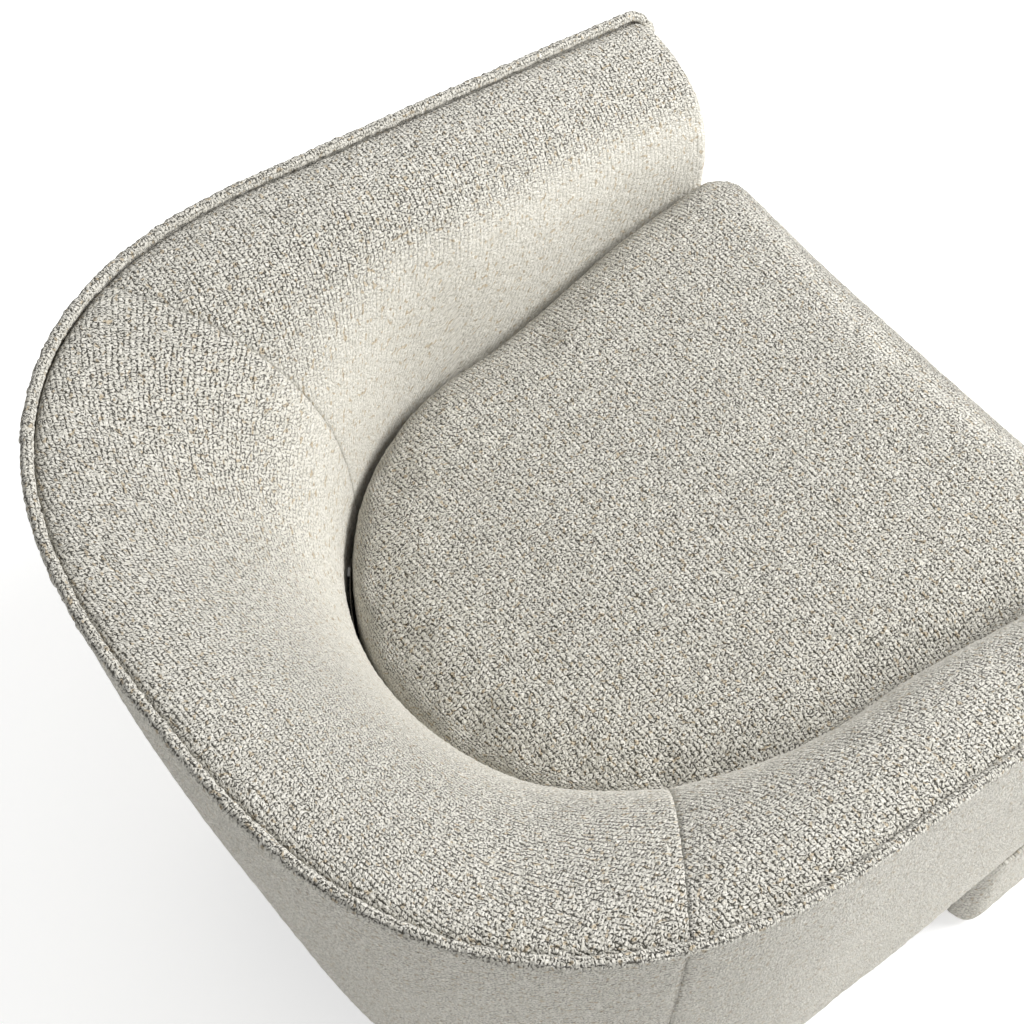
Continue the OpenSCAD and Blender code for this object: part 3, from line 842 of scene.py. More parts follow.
def arm_front(side, word):
    st = Station(FRONT_U)
    line = roll_line(st, pad_start(st), st.width - st.nose_side, st.top - st.nose_top, DECK_Z)
    over = [(st.rim[0] - s, z) for s, z in line if z >= CREASE_Z - 1e-6][::-1]
    top = even([(over[0][0], CREASE_Z)] + over, GRID, 44)[0]
    crown = top[-1]
    out = [(st.rim[0] - s, z) for s, z in wall_section(st) if z > SHELL_LOW][::-1]
    right = even(out + [crown], GRID, 86)[0]
    inner_edge = [(BORDER_X, SHELL_LOW), (BORDER_X, DECK_Z - 5 * MM), (top[0][0], DECK_Z + 6 * MM), top[0]]
    left = even(inner_edge, GRID, 86)[0]
    bottom = even([left[0], right[0]], GRID, 44)[0]
    grid = blended_patch(bottom, top, left, right)
    points = []
    for i, line in enumerate(grid):
        row = []
        for j, (x, z) in enumerate(line):
            swell = 7 * MM * (1 - math.exp(-edge_distance(grid, i, j) / (6 * MM)))
            row.append((side * x, ARM_FRONT + 1 * MM - swell, z))
        points.append(row)
    flat = [[(x, z) for x, z in line] for line in grid]
    if side < 0:
        points = [row[::-1] for row in points]
        flat = [row[::-1] for row in flat]
    return cloth_panel(f"arm_front_cloth_{word}", points, flat, "chair", [f"arm_front_{word}"],
                       least_open=STEEP_OPEN)


for side, word in SIDES:
    arm_front(side, word)

# %% Border under the cushion
BORDER_TOP = cushion_low.z - 1.2 * MM


def border_profile():
    """(y, z) from behind the top edge, down the front and under the bottom edge."""
    line = [(ARM_FRONT + 14 * MM, BORDER_TOP)]
    front = ARM_FRONT - 6 * MM
    for a in range(90, -1, -15):
        turn = math.radians(a)
        line.append((front + 8 * MM * (1 - math.cos(turn)), BORDER_TOP - 8 * MM + 8 * MM * math.sin(turn)))
    for a in range(0, 91, 15):
        turn = math.radians(a)
        line.append((front + 9 * MM * (1 - math.cos(turn)), SHELL_LOW + 9 * MM - 8.8 * MM * math.sin(turn)))
    line.append((ARM_FRONT + 16 * MM, SHELL_LOW + 0.3 * MM))
    return even(line, GRID)


profile, marks = border_profile()
points = []
flat = []
for x in spaced(-BORDER_X, BORDER_X, GRID):
    near = BORDER_X - abs(x)
    dip = 6 * MM * math.exp(-near / (5 * MM))
    points.append([(x, y + dip, z) for y, z in profile][::-1])
    flat.append([(x, -m) for m in marks][::-1])
border = cloth_panel("front_border_cloth", points, flat, "chair", ["front_border"], least_open=STEEP_OPEN)

# %% [markdown]
# ## Seat cushion
# The seat is a loose foam block in a boucle cover. Real covers are cut a little small, so the foam fills
# them and the top crowns. Here the block starts three millimetres small, is remeshed into even cells and
# is blown up by a short cloth simulation. No point may travel far, so it keeps clear of the arms. The
# simulation makes the soft edge; a formula would leave it too regular.


# %% Cushion block
def seat_outline(inset):
    """Half outline of the cushion from the middle of its back round to the middle of its front."""
    g = 2 * MM + inset
    corner = 34 * MM
    half = []
    for k in range(29):
        turn = seat_turn(90 * k / 28)
        x, y = SEAT_HALF * math.sin(turn), SEAT_C + SEAT_ROUND * math.cos(turn)
        half.append((x - math.sin(turn) * g, y - math.cos(turn) * g))
    front = cushion_low.y + inset
    for t in np.linspace(0.04, 0.86, 16):
        y = SEAT_C + (front - SEAT_C) * t
        half.append((seat_side(y) - g, y))
    x = SEAT_HALF + SEAT_FLARE - g
    for a in range(0, 91, 9):
        turn = math.radians(a)
        half.append((x - corner + corner * math.cos(turn), front + corner - corner * math.sin(turn)))
    return half


def both_halves(half):
    """The whole outline, from its left half."""
    return half + [(-x, y) for x, y in half[-1:0:-1]]


def cushion_block(name, small):
    """Closed block with eased edges, small metres smaller than the cover on every side."""
    edge = SEAT_Z
    base = cushion_low.z + small
    levels = [(22, base), (9, base + 3 * MM), (2, base + 12 * MM), (0, base + 24 * MM), (0, edge - 24 * MM),
              (3, edge - 12 * MM), (11, edge - 4 * MM), (30, edge + 1.5 * MM), (70, edge + 5 * MM),
              (130, edge + 7.5 * MM), (190, edge + 8.5 * MM)]
    made = bmesh.new()
    rings = []
    for inset, z in levels:
        loop = both_halves(seat_outline(inset * MM + small))
        rings.append([made.verts.new((x, y, z - (small if z > edge - 30 * MM else 0))) for x, y in loop])
    count = len(rings[0])
    for low, high in zip(rings, rings[1:]):
        for k in range(count):
            made.faces.new((low[k], low[(k + 1) % count], high[(k + 1) % count], high[k]))
    made.faces.new(list(reversed(rings[0])))
    made.faces.new(rings[-1])
    bmesh.ops.recalc_face_normals(made, faces=made.faces)
    mesh = bpy.data.meshes.new(name)
    made.to_mesh(mesh)
    made.free()
    block = bpy.data.objects.new(name, mesh)
    bpy.context.scene.collection.objects.link(block)
    return block


def remeshed(piece, voxel):
    cells = piece.modifiers.new("cells", "REMESH")
    cells.mode = "VOXEL"
    cells.voxel_size = voxel
    smooth = piece.modifiers.new("smooth", "SMOOTH")
    smooth.factor = 0.5
    smooth.iterations = 4
    apply_modifiers(piece)


print("cushion outline:", len(seat_outline(0)), "points on each half")

# %% [markdown]
# ### Inflate and lay the cloth
# Pressure acts for a few frames with no gravity, since the cushion is held by its foam. Then the cushion
# is kept inside the arms, refined, and told where each point lies on the cut cloth: flat from above on
# top, unrolled outwards over the sides.

# %% Inflate with cloth
CUSHION_CAP = 7 * MM
SIM_FRAMES = 20


def inflate(piece, pressure, cap):
    """Cloth under pressure for a few frames, then no point further than cap from where it began."""
    scene = bpy.context.scene
    began = np.array([v.co for v in piece.data.vertices])
    cloth = piece.modifiers.new("cloth", "CLOTH")
    cloth.settings.use_pressure = True
    cloth.settings.uniform_pressure_force = pressure
    cloth.settings.tension_stiffness = 60
    cloth.settings.compression_stiffness = 60
    cloth.settings.bending_stiffness = 25
    cloth.settings.quality = 4
    cloth.settings.effector_weights.gravity = 0
    cloth.collision_settings.use_collision = False
    cloth.point_cache.frame_start = 1
    cloth.point_cache.frame_end = SIM_FRAMES
    for frame_number in range(1, SIM_FRAMES + 1):
        scene.frame_set(frame_number)
    apply_modifiers(piece)
    scene.frame_set(1)
    moved = 0.0
    for v, start in zip(piece.data.vertices, began):
        travel = np.array(v.co) - start
        length = float(np.linalg.norm(travel))
        if length > cap:
            v.co = start + travel * cap / length
        moved = max(moved, min(length, cap))
    print(f"{piece.name}: pushed out {moved * 1000:.1f} mm at most")


def keep_inside(piece, low_z):
    """Flatten what rests on the deck and hold the sides clear of the arms."""
    for v in piece.data.vertices:
        v.co.z = max(v.co.z, low_z)
        if v.co.y < SEAT_C:
            limit = seat_side(v.co.y) - 1 * MM
            v.co.x = max(-limit, min(limit, v.co.x))
            v.co.y = max(v.co.y, cushion_low.y - 2 * MM)
        else:
            reach = math.hypot(v.co.x / (SEAT_HALF - 1 * MM), (v.co.y - SEAT_C) / (SEAT_ROUND - 1 * MM))
            if reach > 1:
                v.co.x /= reach
                v.co.y = SEAT_C + (v.co.y - SEAT_C) / reach


print("cushion may swell", CUSHION_CAP / MM, "mm in", SIM_FRAMES, "frames")


# %% Lay the cloth on the cushion
def side_direction(point):
    """Plan direction out of the cushion's nearest edge, and the distance to that edge."""
    if point.y >= SEAT_C:
        out = Vector((point.x / SEAT_HALF, (point.y - SEAT_C) / SEAT_ROUND, 0))
        return out.normalized(), SEAT_ROUND * (1 - out.length)
    to_side = seat_side(point.y) - abs(point.x)
    to_front = point.y - cushion_low.y
    if to_front < to_side:
        return Vector((0, -1, 0)), to_front
    return Vector((math.copysign(1, point.x), 0, 0)), to_side


def lay_cloth(piece, edge_z):
    """Write the cloth and open attributes: plan coordinates, unrolled down the sides."""
    mesh = piece.data
    mesh.update()
    flat = []
    opened = []
    for v in mesh.vertices:
        out, away = side_direction(v.co)
        drop = max(0.0, edge_z - v.co.z) * step(30 * MM, 12 * MM, away)
        flat += [v.co.x + out.x * drop, v.co.y + out.y * drop, 0.0]
        # open: how far the point faces up, which sets the painted gap shade and bump.
        opened.append(max(STEEP_OPEN, step(0.15, 0.85, v.normal.z)))
    mesh.attributes.new("cloth", "FLOAT_VECTOR", "POINT").data.foreach_set("vector", flat)
    mesh.attributes.new("open", "FLOAT", "POINT").data.foreach_set("value", opened)
    for poly in mesh.polygons:
        poly.use_smooth = True


cushion = cushion_block("seat_cushion_cloth", 3 * MM)
remeshed(cushion, 6 * MM)
inflate(cushion, 4.0, CUSHION_CAP)
keep_inside(cushion, cushion_low.z + 0.3 * MM)
rounder = cushion.modifiers.new("rounder", "SUBSURF")
rounder.levels = 1
rounder.render_levels = 1
apply_modifiers(cushion)
lay_cloth(cushion, SEAT_Z + 3 * MM)
roughened(cushion.data, 1.0)
cushion.data.materials.append(boucle_cloth)
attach(cushion, "seat_cushion")
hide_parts("cushion_upper_cover", "cushion_lower_cover")
print("cushion:", len(cushion.data.polygons), "faces")

# %% [markdown]
# ## Building what is out of sight
# The hidden parts are plain meshes: rings of points joined up, or small boxes. One helper turns either
# into a piece, gives it its finish and says which body it rides on.


# %% Mesh helpers
def joined_mesh(name, build, body, slot, nodes, material, smooth=False):
    """One mesh piece filled in by build(bmesh), riding on body."""
    made = bmesh.new()
    build(made)
    mesh = bpy.data.meshes.new(name)
    made.to_mesh(mesh)
    made.free()
    for poly in mesh.polygons:
        poly.use_smooth = smooth
    mesh.materials.append(material)
    piece = bpy.data.objects.new(name, mesh)
    bpy.context.scene.collection.objects.link(piece)
    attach(piece, body)
    if nodes:
        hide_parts(*nodes)
    print(f"{name}: {len(mesh.polygons)} faces")
    return piece


def bridge(made, rings):
    """Join closed rings of points into a skin with a face over each end."""
    loops = [[made.verts.new(p) for p in ring] for ring in rings]
    count = len(loops[0])
    for a, b in zip(loops, loops[1:]):
        for k in range(count):
            n = (k + 1) % count
            made.faces.new((a[k], b[k], b[n], a[n]))
    made.faces.new(loops[0])
    made.faces.new(list(reversed(loops[-1])))


def add_box(made, at, size, out):
    """A small box at a point, its depth along out."""
    side = Vector((0, 0, 1)).cross(out).normalized()
    corners = []
    for k in (-0.5, 0.5):
        for dx, dz in ((-0.5, -0.5), (0.5, -0.5), (0.5, 0.5), (-0.5, 0.5)):
            offset = side * dx * size[0] + Vector((0, 0, dz * size[2])) + out * k * size[1]
            corners.append(made.verts.new(at + offset))
    faces = ((0, 1, 2, 3), (7, 6, 5, 4), (0, 4, 5, 1), (1, 5, 6, 2), (2, 6, 7, 3), (3, 7, 4, 0))
    for face in faces:
        made.faces.new([corners[k] for k in face])


print("helpers:", joined_mesh.__name__, bridge.__name__, add_box.__name__)

# %% [markdown]
# ## Finishes inside
# Hidden parts still want honest finishes: foam with open cells, beech with grain, plywood with its plies
# on the edge, hardboard, drawn wire, zinc plate and nylon. Grain is a stretched noise, and one group gives
# it to both woods at its own scale. A second group finds the edges of a board by its normal and stripes
# them. Webbing and black cloth share a plain weave made of two crossed waves.

# %% Grain, cells and plies
def build_grain():
    tree, given, out = new_group(
        "wood_grain",
        [("Vector", "Vector", None), ("Stretch", "Float", 18.0), ("Fine", "Float", 220.0)],
        [("Grain", "Float"), ("Pore", "Float")],
    )
    split = tree.nodes.new("ShaderNodeSeparateXYZ")
    link(tree, given.outputs["Vector"], split.inputs[0])
    joined = tree.nodes.new("ShaderNodeCombineXYZ")
    link(tree, math_node(tree, "DIVIDE", split.outputs["X"], given.outputs["Stretch"]), joined.inputs["X"])
    link(tree, split.outputs["Y"], joined.inputs["Y"])
    link(tree, split.outputs["Z"], joined.inputs["Z"])
    broad = noise_node(tree, joined.outputs[0], 60, 3.0)
    fine = noise_node(tree, joined.outputs[0], 1.0, 2.0)
    link(tree, given.outputs["Fine"], fine.inputs["Scale"])
    link(tree, broad.outputs["Fac"], out.inputs["Grain"])
    link(tree, ramp(tree, fine.outputs["Fac"], 0.55, 0.72), out.inputs["Pore"])
    return tree


grain_group = build_grain()


def build_plies():
    """Stripes across the thickness of a board, from its height."""
    tree, given, out = new_group(
        "ply_stripes", [("Vector", "Vector", None), ("Ply", "Float", 1.5 * MM)], [("Stripe", "Float")])
    split = tree.nodes.new("ShaderNodeSeparateXYZ")
    link(tree, given.outputs["Vector"], split.inputs[0])
    level = math_node(tree, "DIVIDE", split.outputs["Z"], given.outputs["Ply"])
    pair = math_node(tree, "FRACT", math_node(tree, "MULTIPLY", level, 0.5))
    stripe = math_node(tree, "GREATER_THAN", pair, 0.5)
    normal = tree.nodes.new("ShaderNodeNewGeometry")
    facing = tree.nodes.new("ShaderNodeSeparateXYZ")
    link(tree, normal.outputs["Normal"], facing.inputs[0])
    upright = math_node(tree, "ABSOLUTE", facing.outputs["Z"])
    edge = math_node(tree, "LESS_THAN", upright, 0.5)
    link(tree, math_node(tree, "MULTIPLY", stripe, edge), out.inputs["Stripe"])
    return tree


plies_group = build_plies()
print("grain and plies:", len(grain_group.nodes), "and", len(plies_group.nodes), "nodes")


# %% Builders of a finish


def started(name, roughness, metallic=0.0, specular=0.3):
    """A new material with its shader, and the object coordinates every finish is laid out in."""
    made = bpy.data.materials.new(name)
    made.use_nodes = True
    tree = made.node_tree
    shader = tree.nodes["Principled BSDF"]
    shader.inputs["Roughness"].default_value = roughness
    shader.inputs["Metallic"].default_value = metallic
    shader.inputs["Specular IOR Level"].default_value = specular
    place = tree.nodes.new("ShaderNodeTexCoord").outputs["Object"]
    return made, tree, shader, place


def bumped(tree, shader, height, distance, strength=1.0):
    """Bump from a height, into the shader's normal."""
    bump = tree.nodes.new("ShaderNodeBump")
    bump.inputs["Distance"].default_value = distance
    bump.inputs["Strength"].default_value = strength
    link(tree, height, bump.inputs["Height"])
    link(tree, bump.outputs["Normal"], shader.inputs["Normal"])


def wood(name, light, dark, stretch=18.0, fine=900.0, ply=0.0):
    """Grain along X. With a ply thickness, the edges are striped too."""
    made, tree, shader, place = started(name, 0.62)
    grain = place_group(tree, grain_group, Vector=place, Stretch=stretch, Fine=fine)
    tone = mix_colour(tree, grain.outputs["Grain"], dark, light)
    tone = mix_colour(tree, math_node(tree, "MULTIPLY", grain.outputs["Pore"], 0.35), tone, dark)
    if ply:
        plies = place_group(tree, plies_group, Vector=place, Ply=ply)
        tone = mix_colour(tree, math_node(tree, "MULTIPLY", plies.outputs["Stripe"], 0.45), tone, dark)
    link(tree, tone, shader.inputs["Base Color"])
    bumped(tree, shader, grain.outputs["Pore"], 0.15 * MM, 0.6)
    return made


def speckled(name, light, dark, scale, roughness, metallic=0.0, deep=0.1 * MM, low=0.4, high=0.6):
    """A finish of two tones mixed by noise: foam cells, hardboard fibres, zinc spangle, nylon."""
    made, tree, shader, place = started(name, roughness, metallic)
    node = noise_node(tree, place, scale, 3.0)
    mask = ramp(tree, node.outputs["Fac"], low, high)
    soil = place_group(tree, soil_group, Vector=place, Size=7.0, Depth=0.08)
    rough = math_node(tree, "MULTIPLY", soil.outputs["Factor"], roughness)
    link(tree, mix_colour(tree, mask, dark, light), shader.inputs["Base Color"])
    link(tree, rough, shader.inputs["Roughness"])
    bumped(tree, shader, node.outputs["Fac"], deep)
    return made


# A wave texture repeats every 0.314 / scale of its coordinates
WAVE_PERIOD = 0.314


def woven(name, colour, dark, pitch):
    """Plain weave: two crossed waves, for webbing, deck cloth and dust cover."""
    made, tree, shader, place = started(name, 0.85, specular=0.15)
    waves = []
    for direction in ("X", "Y"):
        wave = tree.nodes.new("ShaderNodeTexWave")
        wave.bands_direction = direction
        wave.inputs["Scale"].default_value = WAVE_PERIOD / pitch
        wave.inputs["Distortion"].default_value = 0.4
        link(tree, place, wave.inputs["Vector"])
        waves.append(wave.outputs["Fac"])
    crossed = math_node(tree, "MULTIPLY", waves[0], waves[1])
    link(tree, mix_colour(tree, crossed, dark, colour), shader.inputs["Base Color"])
    bumped(tree, shader, crossed, 0.25 * MM, 0.7)
    return made


# %% The finishes and the nodes they go on
beech = wood("beech", (0.55, 0.36, 0.20), (0.36, 0.20, 0.095))
plywood = wood("birch_plywood", (0.62, 0.46, 0.28), (0.40, 0.26, 0.14), 10.0, 500.0, ply=1.5 * MM)
hardboard = speckled("hardboard", (0.20, 0.115, 0.06), (0.10, 0.055, 0.03), 900, 0.7)
foam = speckled("foam", (0.80, 0.72, 0.46), (0.55, 0.47, 0.27), 700, 0.9, deep=0.6 * MM)
zinc = speckled("zinc_plate", (0.56, 0.56, 0.55), (0.38, 0.38, 0.38), 90, 0.32, 1.0, 0.02 * MM)
wire = speckled("spring_wire", (0.20, 0.17, 0.14), (0.10, 0.085, 0.07), 300, 0.38, 1.0, 0.03 * MM)
nylon = speckled("nylon", (0.035, 0.035, 0.035), (0.02, 0.02, 0.02), 500, 0.45, 0.0, 0.03 * MM)
webbing = woven("webbing", (0.10, 0.10, 0.095), (0.02, 0.02, 0.02), 2.4 * MM)
black_cloth = woven("black_cloth", (0.032, 0.032, 0.034), (0.012, 0.012, 0.013), 1.6 * MM)
zip_tape = woven("zip_tape", (0.55, 0.52, 0.45), (0.33, 0.31, 0.26), 1.1 * MM)
finishes = {
    beech: ["front_rail", "side_rail_left", "side_rail_right", "corner_blocks", "rail_splices",
            "arm_posts_left", "arm_posts_right", "leg_block_front_left", "leg_block_front_right",
            "leg_block_rear_left", "leg_block_rear_right"],
    plywood: ["back_rail", "rim_board_back", "rim_board_arm_left", "rim_board_arm_right", "base_board_back",
              "base_board_left", "base_board_right", "base_board_front", "back_ribs"],
    hardboard: ["arm_panel_left", "arm_panel_right"],
    webbing: ["back_webbing"],
    zinc: ["leg_bolts", "leg_washers", "spring_clips"],
    nylon: ["glides"],
}
for finish, names in finishes.items():
    for node in names:
        kept = bpy.data.objects[node]
        kept.data.materials.clear()
        kept.data.materials.append(finish)
print("finishes:", {finish.name: len(names) for finish, names in finishes.items()})

# %% [markdown]
# ## Zip
# The cushion's cover closes with a zip along its back edge, where nobody sees it: a strip of tape, teeth
# that alternate up and down, and a puller that hangs at one end.

# %% Zip tape, teeth and puller
ZIP_Z = (cushion_low.z + SEAT_Z) / 2
ZIP_IN = 3.2 * MM
TAPE_U = 57
TEETH_U = 56
PULLER_U = 55
TOOTH = (1.5 * MM, 1.2 * MM, 2.6 * MM)
TOOTH_PITCH = 2.6 * MM
TOOTH_STAGGER = 0.9 * MM
SLIDER = (9 * MM, 2.2 * MM, 6 * MM)
TAB = (4 * MM, 0.9 * MM, 15 * MM)
TAPE_PROFILE = ((-6, 0.2), (-3, 0.6), (0, 0.7), (3, 0.6), (6, 0.2), (6, -0.5), (-6, -0.5))


def zip_line(u_end):
    """Points of the zip on the cushion's back edge, with the outward direction at each."""
    line = []
    for u in np.linspace(-u_end, u_end, 150):
        turn = seat_turn(u)
        out = Vector((math.sin(turn), math.cos(turn), 0))
        edge = Vector((SEAT_HALF * math.sin(turn), SEAT_C + SEAT_ROUND * math.cos(turn), ZIP_Z))
        line.append((edge - out * ZIP_IN, out))
    return line


def zip_teeth(made):
    path = even([tuple(at) for at, out in zip_line(TEETH_U)], TOOTH_PITCH)[0]
    for k, (x, y, z) in enumerate(path[:-1]):
        ahead = Vector(path[k + 1]) - Vector((x, y, z))
        out = Vector((0, 0, 1)).cross(ahead).normalized()
        out = out if out.y > 0 else -out
        level = z + (TOOTH_STAGGER if k % 2 else -TOOTH_STAGGER)
        add_box(made, Vector((x, y, level)) + out * 1.1 * MM, TOOTH, out)


def zip_strip(made):
    rings = []
    for at, out in zip_line(TAPE_U):
        rings.append([at + Vector((0, 0, dz * MM)) + out * lift * MM for dz, lift in TAPE_PROFILE])
    bridge(made, rings)
    bmesh.ops.recalc_face_normals(made, faces=made.faces)


def zip_puller(made):
    at, out = zip_line(PULLER_U)[-1]
    add_box(made, at + out * 1.6 * MM, SLIDER, out)
    add_box(made, at + out * 2.3 * MM + Vector((0, 0, -9 * MM)), TAB, out)


joined_mesh("zip_tape_strip", zip_strip, "seat_cushion", "zip", ["cushion_zip"], zip_tape)
joined_mesh("zip_teeth", zip_teeth, "seat_cushion", "zip", [], nylon)
joined_mesh("zip_puller", zip_puller, "seat_cushion", "zip", [], zinc)

# %% [markdown]
# ## Foam
# The pads are cut foam: the same roll as the cloth, a few millimetres in, with a flat back that stands on
# the ribs and panels. The cushion's foam and the deck pad are slabs with eased edges.


# %% Foam pads
FOAM_IN = SKIN + 2.5 * MM
FOAM_LOW = DECK_Z + 3 * MM
FOAM_THICK = 37 * MM
FOAM_FRONT_U = 149.2
FOAM_STEP = 1.4


def foam_ring(u):
    st = Station(u)
    start = pad_start(st) + 2 * MM
    face = roll_line(st, start, st.width - st.nose_side - FOAM_IN, st.top - st.nose_top - FOAM_IN, FOAM_LOW)
    behind = roll_line(st, start, st.width - PAD_T + 1 * MM, st.top - FOAM_THICK, FOAM_LOW)
    ring = even(face, GRID, 44)[0] + even(behind, GRID, 30)[0][::-1]
    return [st.at(s, z) for s, z in ring]


def foam_pad(name, us, node):
    def build(made):
        bridge(made, [foam_ring(u) for u in us])
        bmesh.ops.recalc_face_normals(made, faces=made.faces)

    pad = joined_mesh(name, build, "chair", "foam", [node], foam, smooth=True)


FOAM_U = SEAM_U - 0.8
foam_pad("back_foam_pad", spaced(-FOAM_U, FOAM_U, FOAM_STEP), "back_foam")
for side, word in SIDES:
    us = spaced(SEAM_U + 0.8, FOAM_FRONT_U, FOAM_STEP)
    foam_pad(f"arm_foam_pad_{word}", us if side > 0 else [-u for u in reversed(us)], f"arm_foam_{word}")


# %% Cushion foam and deck pad
def slab(name, inset, low, high, ease, body, node):
    """A slab to the seat's outline with eased edges."""
    quarter = (0, math.pi / 6, math.pi / 3, math.pi / 2)
    levels = [(inset + ease * (1 - math.sin(t)), low + ease * (1 - math.cos(t))) for t in quarter]
    levels += [(inset + ease * (1 - math.cos(t)), high - ease * (1 - math.sin(t))) for t in quarter]

    def build(made):
        rings = []
        for drawn_in, z in levels:
            rings.append([(x, y, z) for x, y in both_halves(seat_outline(drawn_in))])
        bridge(made, rings)
        bmesh.ops.recalc_face_normals(made, faces=made.faces)

    piece = joined_mesh(name, build, body, "foam", [node], foam)


slab("cushion_foam", 24 * MM, cushion_low.z + 12 * MM, SEAT_Z - 14 * MM, 26 * MM, "seat_cushion",
     "seat_cushion_core")
pad_low, pad_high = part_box("deck_pad")
slab("deck_pad_foam", 22 * MM, pad_low.z, pad_high.z, 2 * MM, "chair", "deck_pad")

# %% [markdown]
# ## Springs
# Zig-zag springs are one wire bent to and fro. Each is swept as a round tube along the same bends that the
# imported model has, from the front rail to the back rail.


# %% Springs
SPRING_W = 34 * MM
SPRING_PITCH = 31 * MM
WIRE_R = 1.75 * MM
spring_low, spring_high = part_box("seat_springs")
SPRING_X = [(-205 + 82 * k) * MM for k in range(6)]


def spring_run(x, start, end):
    length = end - start
    rows = round(length / SPRING_PITCH) - 1
    pitch = length / (rows + 1)
    r = pitch / 2
    half = SPRING_W / 2 - r
    z = (spring_low.z + spring_high.z) / 2
    line = [(x, start, z), (x, start + pitch * 0.45, z)]
    for i in range(rows - 1):
        side = 1 if i % 2 == 0 else -1
        for a in range(-90, 91, 18):
            turn = math.radians(a)
            bend_y = start + pitch * (i + 1.5) + r * math.sin(turn)
            line.append((x + side * (half + r * math.cos(turn)), bend_y, z))
    return line + [(x, end - pitch * 0.45, z), (x, end, z)]


def springs(made):
    for x in SPRING_X:
        end = SEAT_C + SEAT_ROUND * math.sqrt(1 - (x / SEAT_HALF) ** 2) + 15 * MM
        bridge(made, sweep(even(spring_run(x, spring_low.y, end), 3.5 * MM)[0], WIRE_R, 8)[0])
    bmesh.ops.recalc_face_normals(made, faces=made.faces)


joined_mesh("zigzag_springs", springs, "chair", "spring_steel", ["seat_springs"], wire, smooth=True)

# %% [markdown]
# ## Legs
# Each leg is a block in a padded sleeve of the same boucle. The sleeve's plan follows the shell above it
# and its corners are round, because thick cloth over wadding will not fold sharp. It turns under at the
# floor with a soft edge.

# %% Leg sleeves
FRONT_LEG = (120.5, 149.6, 0.5 * MM, 96 * MM)
REAR_LEG = (33, 61, 14 * MM, 86 * MM)
LEG_CORNER = 18 * MM


LEG_POINTS = 9
SLEEVE_STEP = 4.2 * MM
SLEEVE_HEM = 9 * MM


def unit(vector):
    return vector / np.linalg.norm(vector)


def leg_outline(leg):
    """Plan of a left leg: its outer face along the shell, then square back to the inner face."""
    first_u, last_u, inset, depth = leg
    pts = []
    for u in np.linspace(first_u, last_u, LEG_POINTS):
        st = Station(u)
        pts.append(st.rim + st.to_seat * (st.taper + inset))
    ahead = unit(pts[-1] - pts[0])
    inner = np.array([ahead[1], -ahead[0]]) * depth
    return pts + [pts[-1] + inner, pts[0] + inner]


def rounded_plan(leg):
    """The leg's outline with its corners rounded, as evenly spaced points."""
    outline = leg_outline(leg)
    near, far = outline[0], outline[LEG_POINTS - 1]
    corners = {0: (10, 8), 8: (0, 9), 9: (8, 10), 10: (9, 0)}
    line = []
    for k, p in enumerate(outline):
        if k not in corners:
            if min(np.linalg.norm(p - near), np.linalg.norm(p - far)) >= LEG_CORNER:
                line.append(p)
            continue
        start, end = (p + unit(outline[n] - p) * LEG_CORNER for n in corners[k])
        pull = p * 0.85 + (start + end) * 0.075
        for t in np.linspace(0, 1, 9):
            line.append((1 - t) ** 2 * start + 2 * t * (1 - t) * pull + t * t * end)
    closed = [tuple(q) for q in line + line[:1]]
    return [np.array(p) for p in even(closed, SLEEVE_STEP)[0][:-1]]


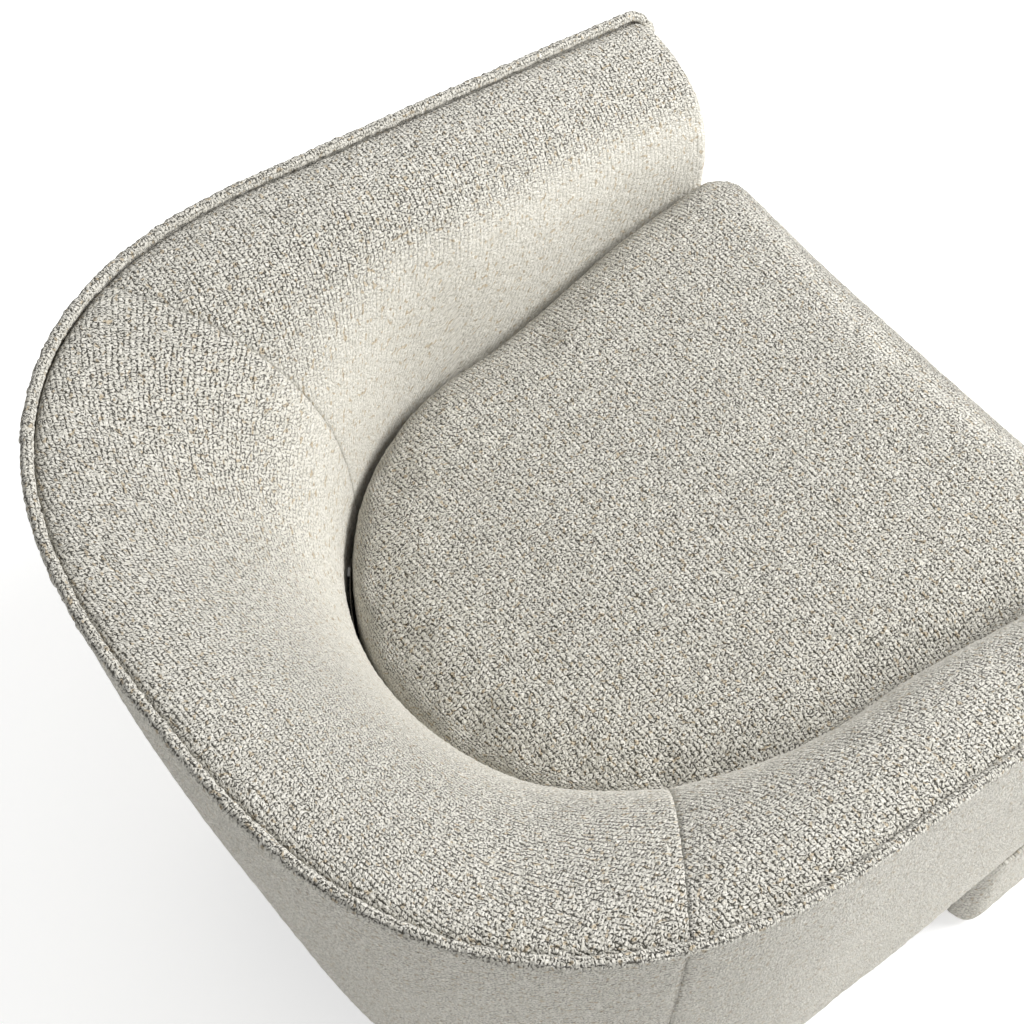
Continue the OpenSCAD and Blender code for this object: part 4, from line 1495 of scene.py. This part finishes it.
def leg_sleeve(side, leg, name, node):
    plan = rounded_plan(leg)
    middle = sum(plan) / len(plan)
    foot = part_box(node)[0].z
    levels = [(0.0, z) for z in spaced(SHELL_LOW + 2 * MM, foot + SLEEVE_HEM, SLEEVE_STEP)]
    for t in np.linspace(0.25, math.pi / 2, 6):
        levels.append((SLEEVE_HEM * (1 - math.cos(t)), foot + SLEEVE_HEM * (1 - math.sin(t))))
    levels += [(inset, foot) for inset in (14 * MM, 20 * MM, 27 * MM)]
    points = []
    flat = []
    run = [0.0]
    for a, b in zip(plan, plan[1:] + plan[:1]):
        run.append(run[-1] + float(np.linalg.norm(b - a)))
    for inset, z in levels:
        row = []
        for p in plan:
            reach = float(np.linalg.norm(p - middle))
            q = middle + (p - middle) * (1 - inset / reach)
            row.append((side * q[0], q[1], z))
        points.append(row)
        flat.append([(run[k], z - inset) for k in range(len(plan))])
    if side > 0:
        points = [row[::-1] for row in points]
        flat = [row[::-1] for row in flat]
    sleeve = cloth_panel(name, points, flat, "chair", [node], thick=4 * MM, loop_round=True,
                         least_open=STEEP_OPEN)


for side, word in SIDES:
    leg_sleeve(side, FRONT_LEG, f"leg_cloth_front_{word}", f"leg_sleeve_front_{word}")
    leg_sleeve(side, REAR_LEG, f"leg_cloth_rear_{word}", f"leg_sleeve_rear_{word}")

# %% [markdown]
# ## Dust cover and deck cloth
# Two plain sheets are stapled to the frame: black cloth under the chair, cut round the legs, and a second
# over the springs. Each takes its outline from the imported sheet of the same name, gets an even mesh and
# sags a little between its fixings.


# %% Stapled sheets
SHEET_MESH = 24 * MM
SAG_REACH = 60 * MM


def stapled_sheet(name, node, upper, sag):
    made = bmesh.new()
    made.from_mesh(bpy.data.objects[node].data)
    wanted = 1 if upper else -1
    away = [f for f in made.faces if f.normal.z * wanted < 0.9]
    bmesh.ops.delete(made, geom=away, context="FACES")
    bmesh.ops.triangulate(made, faces=made.faces)
    for halving in range(6):
        long_edges = [e for e in made.edges if e.calc_length() > SHEET_MESH]
        if not long_edges:
            break
        bmesh.ops.subdivide_edges(made, edges=long_edges, cuts=1)
        bmesh.ops.triangulate(made, faces=made.faces)
    bmesh.ops.remove_doubles(made, verts=made.verts, dist=0.05 * MM)
    area = sum(f.calc_area() for f in made.faces)
    rim = {v for e in made.edges if e.is_boundary for v in e.verts}
    held = np.array([v.co for v in rim])
    for v in made.verts:
        gap = float(np.min(np.linalg.norm(held[:, :2] - np.array(v.co[:2]), axis=1)))
        ripple = noise.noise(v.co * 14) * 0.4
        v.co.z -= sag * (1 - math.exp(-gap / SAG_REACH)) * (1 + ripple)
    mesh = bpy.data.meshes.new(name)
    made.to_mesh(mesh)
    made.free()
    for poly in mesh.polygons:
        poly.use_smooth = True
    mesh.materials.append(black_cloth)
    sheet = bpy.data.objects.new(name, mesh)
    bpy.context.scene.collection.objects.link(sheet)
    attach(sheet, "chair")
    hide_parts(node)


stapled_sheet("dust_cover_cloth", "dust_cover", False, 1.6 * MM)
stapled_sheet("deck_cloth_sheet", "deck_cloth", True, 0.8 * MM)
